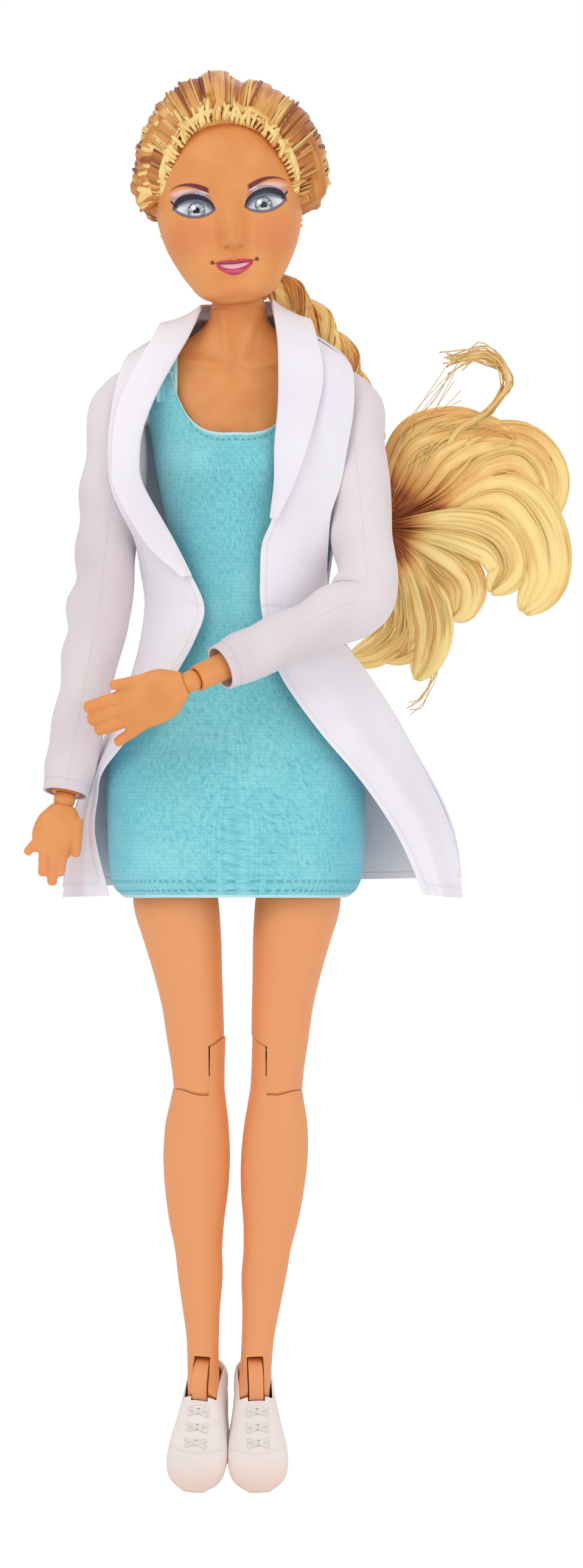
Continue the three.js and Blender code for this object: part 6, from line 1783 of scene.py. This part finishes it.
class DollSizes(bpy.types.PropertyGroup):
    """Sizes that can be changed without the frame."""

    cloth: bpy.props.FloatProperty(
        name="Cloth", description="Thickness of the knit and the coat, in millimetres", default=0.5, min=0.2, max=0.8
    )
    locks: bpy.props.IntProperty(name="Locks", description="Combed locks over the crown", default=112, min=30, max=140)
    wales: bpy.props.IntProperty(name="Wales", description="Columns of stitches round the dress", default=190, min=80)


def colours(context):
    """The scene's colours of the doll."""
    return context.scene.doll_colours


def sizes(context):
    """The scene's sizes of the doll."""
    return context.scene.doll_sizes


class DOLL_OT_frame(bpy.types.Operator):
    """Gives the joint pieces that stay from the frame the skin's finish"""

    bl_idname = "doll.frame"
    bl_label = "Joint pieces"

    def execute(self, context):
        look = skin_look(colours(context), "joint_skin")
        kept = ["neck_knob"]
        for key in SIDES:
            kept += [f"{part}_{key}" for part in ("shoulder_hinge", "upper_arm", "elbow_knuckle", "wrist_peg")]
            kept += [f"hip_hinge_{key}"]
        for name in kept:
            mesh = bpy.data.objects[name].data
            mesh.materials.clear()
            mesh.materials.append(look)
        return {"FINISHED"}


class DOLL_OT_body(bpy.types.Operator):
    """Builds the torso, legs, forearms and hands"""

    bl_idname = "doll.body"
    bl_label = "Body"

    def execute(self, context):
        look = skin_look(colours(context))
        seamed = skin_look(colours(context), "torso_skin", seam=True)
        heights = np.concatenate([np.linspace(-47, 38, 70), np.linspace(39, NECK[2], 70)])
        torso = surface("torso_skin", [torso_grid(heights)])
        boolean(torso, [sphere(NECK_BALL, NECK, 48)], "UNION")
        clear = HIP_BALL + GAP + 0.3
        for key, side in SIDES.items():
            hip, height = HIP[key], SHOULDER[key][2]
            boss = cylinder(SHOULDER_BOSS, (side * BOSS_FROM, 0, height), (side * BOSS_TO, 0, height))
            boolean(torso, [boss], "UNION")
            boolean(torso, [sphere(SHOULDER_SOCKET, SHOULDER[key], 36), sphere(clear, hip, 48)])
            # The thigh swings forwards and down through the torso's lower edge
            for way in ((0, 0, -30), (0, -30, 0), (0, -20, -20)):
                boolean(torso, [cylinder(clear - 0.1, hip, hip + np.array(way), 40)])
        finish(crisp(torso), seamed, "torso", ("torso_front", "torso_back"))
        for key in SIDES:
            for part, build in (("thigh", thigh), ("lower_leg", lower_leg), ("forearm", forearm)):
                finish(build(key), look, f"{part}_{key}", (f"{part}_{key}",))
            ball = sphere(WRIST_BALL, WRIST[key])
            ball.name = ball.data.name = f"wrist_ball_{key}"
            finish(ball, look, f"wrist_peg_{key}")
            finish(hand(key), look, f"hand_{key}", (f"hand_{key}",))
        return {"FINISHED"}


class DOLL_OT_head(bpy.types.Operator):
    """Builds the head with its modelled and painted face"""

    bl_idname = "doll.head"
    bl_label = "Head"

    def execute(self, context):
        head = surface("head_skin", [head_grid()])
        finish(head, face_look(colours(context)), "head", ("head",))
        return {"FINISHED"}


class DOLL_OT_hair(bpy.types.Operator):
    """Builds the combed hair, its rolls, the twisted tail, its tie and the loose fan of hair"""

    bl_idname = "doll.hair"
    bl_label = "Hair"

    def execute(self, context):
        rng = np.random.default_rng(7)
        look = hair_look(colours(context))
        tail = hair_look(colours(context), "tail", 0.5, 0.0)
        scalp = surface("hair_scalp", [in_head(scalp_grid())])
        half, middle, rise = SCALP_OPENING
        angle = turns(96)
        rim = joined(half * np.cos(angle), 0, middle + rise * np.sin(angle))
        boolean(scalp, [surface("cutter", [in_head(np.stack([rim + [0, -30, 0], rim + [0, -4.5, 0]]))])])
        # Under the chin the opening runs on to the scalp's lower edge
        boolean(scalp, [slab((-12, 12), (-30, -2), (-2, 12), HEAD_AXES)])
        finish(crisp(scalp, 60), hair_look(colours(context), "hair_depth", lift=0.34), "head", ("hair_cap",))
        locks = crown_locks(rng, sizes(context).locks, 1.1, -0.2, 12, 44, LOCK_TONES)
        locks += crown_locks(rng, 150, 0.28, 0.3, 6, 40, THIN_TONES)
        finish(hair_piece("hair_locks", locks, in_head), look, "head")
        rolls = roll_locks(rng, -1) + roll_locks(rng, 1) + parting_locks(rng)
        finish(hair_piece("hair_rolls", rolls, in_head), look, "head")
        roots = root_ridges(rng) + band_locks(rng, -1) + band_locks(rng, 1)
        finish(hair_piece("hair_roots", roots, in_head), look, "head")

        strands = twist_strands(rng)
        cuts, bodies = (0, TWIST_NECK, TWIST_BACK, TWIST_ROWS - 1), ("head", "neck_knob", "torso")
        for k, body in enumerate(bodies):
            part = [(tone, grid[cuts[k] : cuts[k + 1] + 1]) for tone, grid in strands]
            obj = hair_piece(f"hair_twist_{k + 1}", part)
            last = body == bodies[-1]
            finish(obj, look, body if last else None, ("hair_twist",))
            if not last:
                rings = (np.vstack([g[end] for _, g in part]) for end in (0, -1))
                blend_over(obj, body, bodies[k + 1], *ring_ramp(*rings))
        middle = np.array(TWIST[-1]) - [0, 0, TIE_UNDER]
        coils = []
        turn = np.linspace(0, 2 * np.pi, 49)
        for k in range(5):
            height = 0.35 * np.sin(turn + k) + (k - 2) * TIE_STEP
            path = joined(TIE_COIL * np.cos(turn), TIE_COIL * np.sin(turn), height) + middle
            coils.append(tube_grid(path, [0, 0, 1], TIE_CORD, TIE_CORD, 10))
        tie = trim_look("tie", colour(166, 96, 40), 0.5, 900.0)
        finish(surface("tie_coils", coils), tie, "torso", ("hair_tie",))
        fan = []
        for width, tone, path in LOCKS:
            fan += tail_locks(rng, [GATHER, *path], width, tone)
        finish(hair_piece("tail_fan", fan), tail, "torso", ("hair_tail",))
        loose = [(0.85, tube_grid(smooth_path(WISP, 40), [0, 1, 0], 1.1 * taper(40, 0.3, 0.4, 0.3), 0.5, 12))]
        loose += stray(rng, WISP, 22, 0.16, 1.2)
        for count, thick, spread, path in STRAYS:
            loose += stray(rng, path, count, thick, spread)
        finish(hair_piece("tail_wisps", loose), look, "torso")
        return {"FINISHED"}


class DOLL_OT_shoes(bpy.types.Operator):
    """Builds the feet and the laced shoes"""

    bl_idname = "doll.shoes"
    bl_label = "Shoes"

    def execute(self, context):
        skin = skin_look(colours(context), "foot_skin")
        leather = shoe_look(colours(context))
        lace = trim_look("lace", colour(238, 228, 224), 0.6, 1600.0)
        metal = trim_look("stud", colour(186, 178, 176), 0.5, 1400.0)
        for key in SIDES:
            axes = ankle_axes(key) @ turned((1, 0, 0), FOOT_POINT)
            body = f"foot_{key}"
            finish(foot(key, axes), skin, body, (body,))
            finish(shoe_shell(key, axes), leather, body, (f"shoe_{key}",))
            laces, studs = lacing()
            for name, grids, look in (("trim", shoe_trims(), leather), ("laces", laces, lace), ("studs", studs, metal)):
                piece = surface(f"shoe_{name}_{key}", [into(axes, g) for g in grids])
                finish(piece, look, body)
        return {"FINISHED"}


class DOLL_OT_dress(bpy.types.Operator):
    """Builds the knitted dress: bodice, straps and a skirt in two pieces on each side"""

    bl_idname = "doll.dress"
    bl_label = "Dress"

    def execute(self, context):
        wall = sizes(context).cloth
        look = knit_look(colours(context), sizes(context).wales, COURSES)
        hemmed = knit_look(colours(context), sizes(context).wales, COURSES, "knit_hem", hem=HEM_ROW)
        patches = bodice_patches()
        bodice = cloth("dress_bodice", patches, wall)
        finish(bodice, look, "torso", ("dress",))
        for key, side in SIDES.items():
            ramps = (np.array([0, 0, 1]), SKIRT_TOP, SKIRT_TOP - SKIRT_RUN), (np.array([side, 0, 0]), 0, SKIRT_STRIP)
            for share, patches, stretch in zip(("side", "middle"), skirt_patches(side), ramps):
                piece = cloth(f"skirt_{share}_{key}", patches, wall)
                finish(piece, hemmed, None, ("dress",))
                blend_over(piece, "torso", f"hip_hinge_{key}", *stretch)
        return {"FINISHED"}


class DOLL_OT_coat(bpy.types.Operator):
    """Builds the open coat: back, two fronts, shawl collar and two sleeves"""

    bl_idname = "doll.coat"
    bl_label = "Coat"

    def execute(self, context):
        wall = sizes(context).cloth
        tints = colours(context)
        look = coat_look(tints.coat_shade, tints.coat, row_at=COAT_ROW)
        for key, side in SIDES.items():
            ramps = (np.array([0, 0, 1]), *COAT_RAMP_Z), (np.array([side, 0, 0]), *COAT_RAMP_X)
            for place, halves in (("front", front_patches(key)), ("back", back_patches(key))):
                for share, patches, stretch in zip(("outer", "inner"), halves, ramps):
                    piece = cloth(f"coat_{place}_{share}_{key}", patches, wall)
                    finish(piece, look, None, (f"coat_front_{key}" if place == "front" else "coat_back",))
                    blend_over(piece, "torso", f"shoulder_hinge_{key}", *stretch)
        patches = collar_patches()
        collar = cloth("coat_shawl", patches, wall)
        finish(collar, coat_look(tints.coat_shade, tints.coat, "collar", (90, 560)), "torso", ("coat_collar",))
        sleeve_weave = coat_look(tints.sleeve_shade, tints.sleeve, "sleeve", (150, 420), CUFF_ROW)
        for key, side in SIDES.items():
            grid = sleeve_grid(key)
            bodies = [f"{part}_{key}" for part in ("shoulder_hinge", "upper_arm", "elbow_knuckle", "forearm")]
            down = unit(ELBOW[key] - SHOULDER[key])
            low, high = (SHOULDER[key] @ down + step for step in SLEEVE_RAMP)
            first = int(np.flatnonzero((grid @ down).min(1) >= high)[0])
            before, at, after = SLEEVE_BEND
            cuts = [0, first, at, len(grid) - 1]
            ramps = (down, low, high), ring_ramp(grid[before], grid[at]), ring_ramp(grid[at], grid[after])
            u = np.linspace(0, 1, grid.shape[1] + 1)[None, :]
            v = np.linspace(0, 1, len(grid))[:, None]
            for k, stretch in enumerate(ramps):
                rows = slice(cuts[k], cuts[k + 1] + 1)
                part = np.concatenate([grid[rows], grid[rows][:, :1]], axis=1)
                patch = (part, joined(u, v[rows]), (1 - v[rows]) * SLEEVE_LENGTH + 0 * u)
                if side > 0:
                    patch = tuple(p[:, ::-1] for p in patch)
                piece = cloth(f"sleeve_{key}_{k + 1}", [patch], wall)
                finish(piece, sleeve_weave, None, (f"coat_sleeve_{key}",))
                blend_over(piece, bodies[k], bodies[k + 1], *stretch)
        return {"FINISHED"}


# Name, place and size in metres, power in watts
LAMPS = [
    ("key", (-0.55, -0.9, 0.62), 0.6, 2.7), ("fill", (0.75, -0.9, -0.02), 0.8, 2.2),
    ("top", (0.0, 0.15, 1.0), 0.7, 1.1), ("rear", (0.3, 0.9, 0.4), 0.8, 1.6),
]
LAMP_AIM, CAMERA_AT = (0, 0, -0.03), (0.01183, -1.2, -0.03744)
# Lens and sensor in millimetres, the far limit in metres
LENS, SENSOR, FAR = 129.0, 36.0, 20.0
# The floor's half-size in millimetres and its distance under the doll in metres
FLOOR_HALF, FLOOR_DROP = 1500, 0.0015
# Strength of the sky on the doll, and of the sky that the camera sees
SKY_POWER = 0.72, 1.0


class DOLL_OT_stage(bpy.types.Operator):
    """Sets the pale floor, soft studio light and the camera"""

    bl_idname = "doll.stage"
    bl_label = "Stage"

    def execute(self, context):
        scene = context.scene
        scene.view_settings.view_transform = "Standard"
        world = bpy.data.worlds.new("studio")
        world.use_nodes = True
        scene.world = world
        # Rays from the camera see white; the rest are lit softly
        sky = Graph(world.node_tree)
        sky.tree.nodes.clear()
        seen = sky.node("ShaderNodeLightPath", output="Is Camera Ray")
        through = sky.node("ShaderNodeLightPath", output="Is Transmission Ray")
        skies = [sky.node("ShaderNodeBackground", {}, {"Color": WHITE, "Strength": power}) for power in SKY_POWER]
        mixed = sky.node("ShaderNodeMixShader", {}, (seen.larger(through), *skies))
        sky.node("ShaderNodeOutputWorld", {}, {"Surface": mixed})
        low = min(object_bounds()[0][2], FRAME_BOX[0][2])
        ends = -FLOOR_HALF, FLOOR_HALF
        floor = surface("floor", [np.array([[[x, y, 0] for x in ends] for y in ends], float)], closed=False)
        floor.data.transform(Matrix.Translation((0, 0, low - FLOOR_DROP)))
        pale = Look("floor", {"Roughness": 0.9, "Specular IOR Level": 0.1})
        grain = pale.noise(pale.place(), 40.0, 2.0)
        pale.feed("Base Color", pale.mix(grain, (0.93, 0.93, 0.93), (0.96, 0.96, 0.96)))
        # The camera sees the floor lifted to white, with the object's soft shadow left in it
        seen = pale.node("ShaderNodeLightPath", output="Is Camera Ray")
        pale.shader.inputs["Emission Strength"].default_value = 0.7
        pale.feed("Emission Color", pale.mix(seen, BLACK, WHITE))
        floor.data.materials.append(pale.material)
        floor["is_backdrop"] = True
        for name, at, size, power in LAMPS:
            lamp = bpy.data.lights.new(name, "AREA")
            lamp.shape, lamp.size, lamp.energy = "DISK", size, power
            obj = bpy.data.objects.new(name, lamp)
            obj.location = at
            aim = Vector(LAMP_AIM) - Vector(at)
            obj.rotation_euler = aim.to_track_quat("-Z", "Y").to_euler()
            scene.collection.objects.link(obj)
        camera = bpy.data.objects.new("camera", bpy.data.cameras.new("camera"))
        camera.data.lens, camera.data.sensor_width, camera.data.clip_end = LENS, SENSOR, FAR
        camera.location = CAMERA_AT
        camera.rotation_euler = (math.pi / 2, 0, 0)
        scene.collection.objects.link(camera)
        scene.camera = camera
        return {"FINISHED"}


STEPS = (
    DOLL_OT_frame, DOLL_OT_body, DOLL_OT_head, DOLL_OT_hair, DOLL_OT_shoes, DOLL_OT_dress, DOLL_OT_coat, DOLL_OT_stage
)


class DOLL_PT_panel(bpy.types.Panel):
    """Lists the doll's pieces with their colours and sizes"""

    bl_idname = "DOLL_PT_panel"
    bl_label = "Jointed fashion doll"
    bl_space_type = "VIEW_3D"
    bl_region_type = "UI"
    bl_category = "Doll"

    def draw(self, context):
        for step in STEPS:
            self.layout.operator(step.bl_idname)
        for group in (colours(context), sizes(context)):
            for name in type(group).__annotations__:
                self.layout.prop(group, name)


CLASSES = (DollColours, DollSizes, *STEPS, DOLL_PT_panel)


def register():
    """Registers the add-on's classes and the scene's two groups of properties."""
    for cls in CLASSES:
        bpy.utils.register_class(cls)
    bpy.types.Scene.doll_colours = bpy.props.PointerProperty(type=DollColours)
    bpy.types.Scene.doll_sizes = bpy.props.PointerProperty(type=DollSizes)


def unregister():
    """Takes back what register did."""
    del bpy.types.Scene.doll_sizes
    del bpy.types.Scene.doll_colours
    for cls in reversed(CLASSES):
        bpy.utils.unregister_class(cls)


def main():
    """Registers the add-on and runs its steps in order."""
    register()
    for step in STEPS:
        group, name = step.bl_idname.split(".")
        getattr(getattr(bpy.ops, group), name)()


if __name__ == "__main__":
    main()
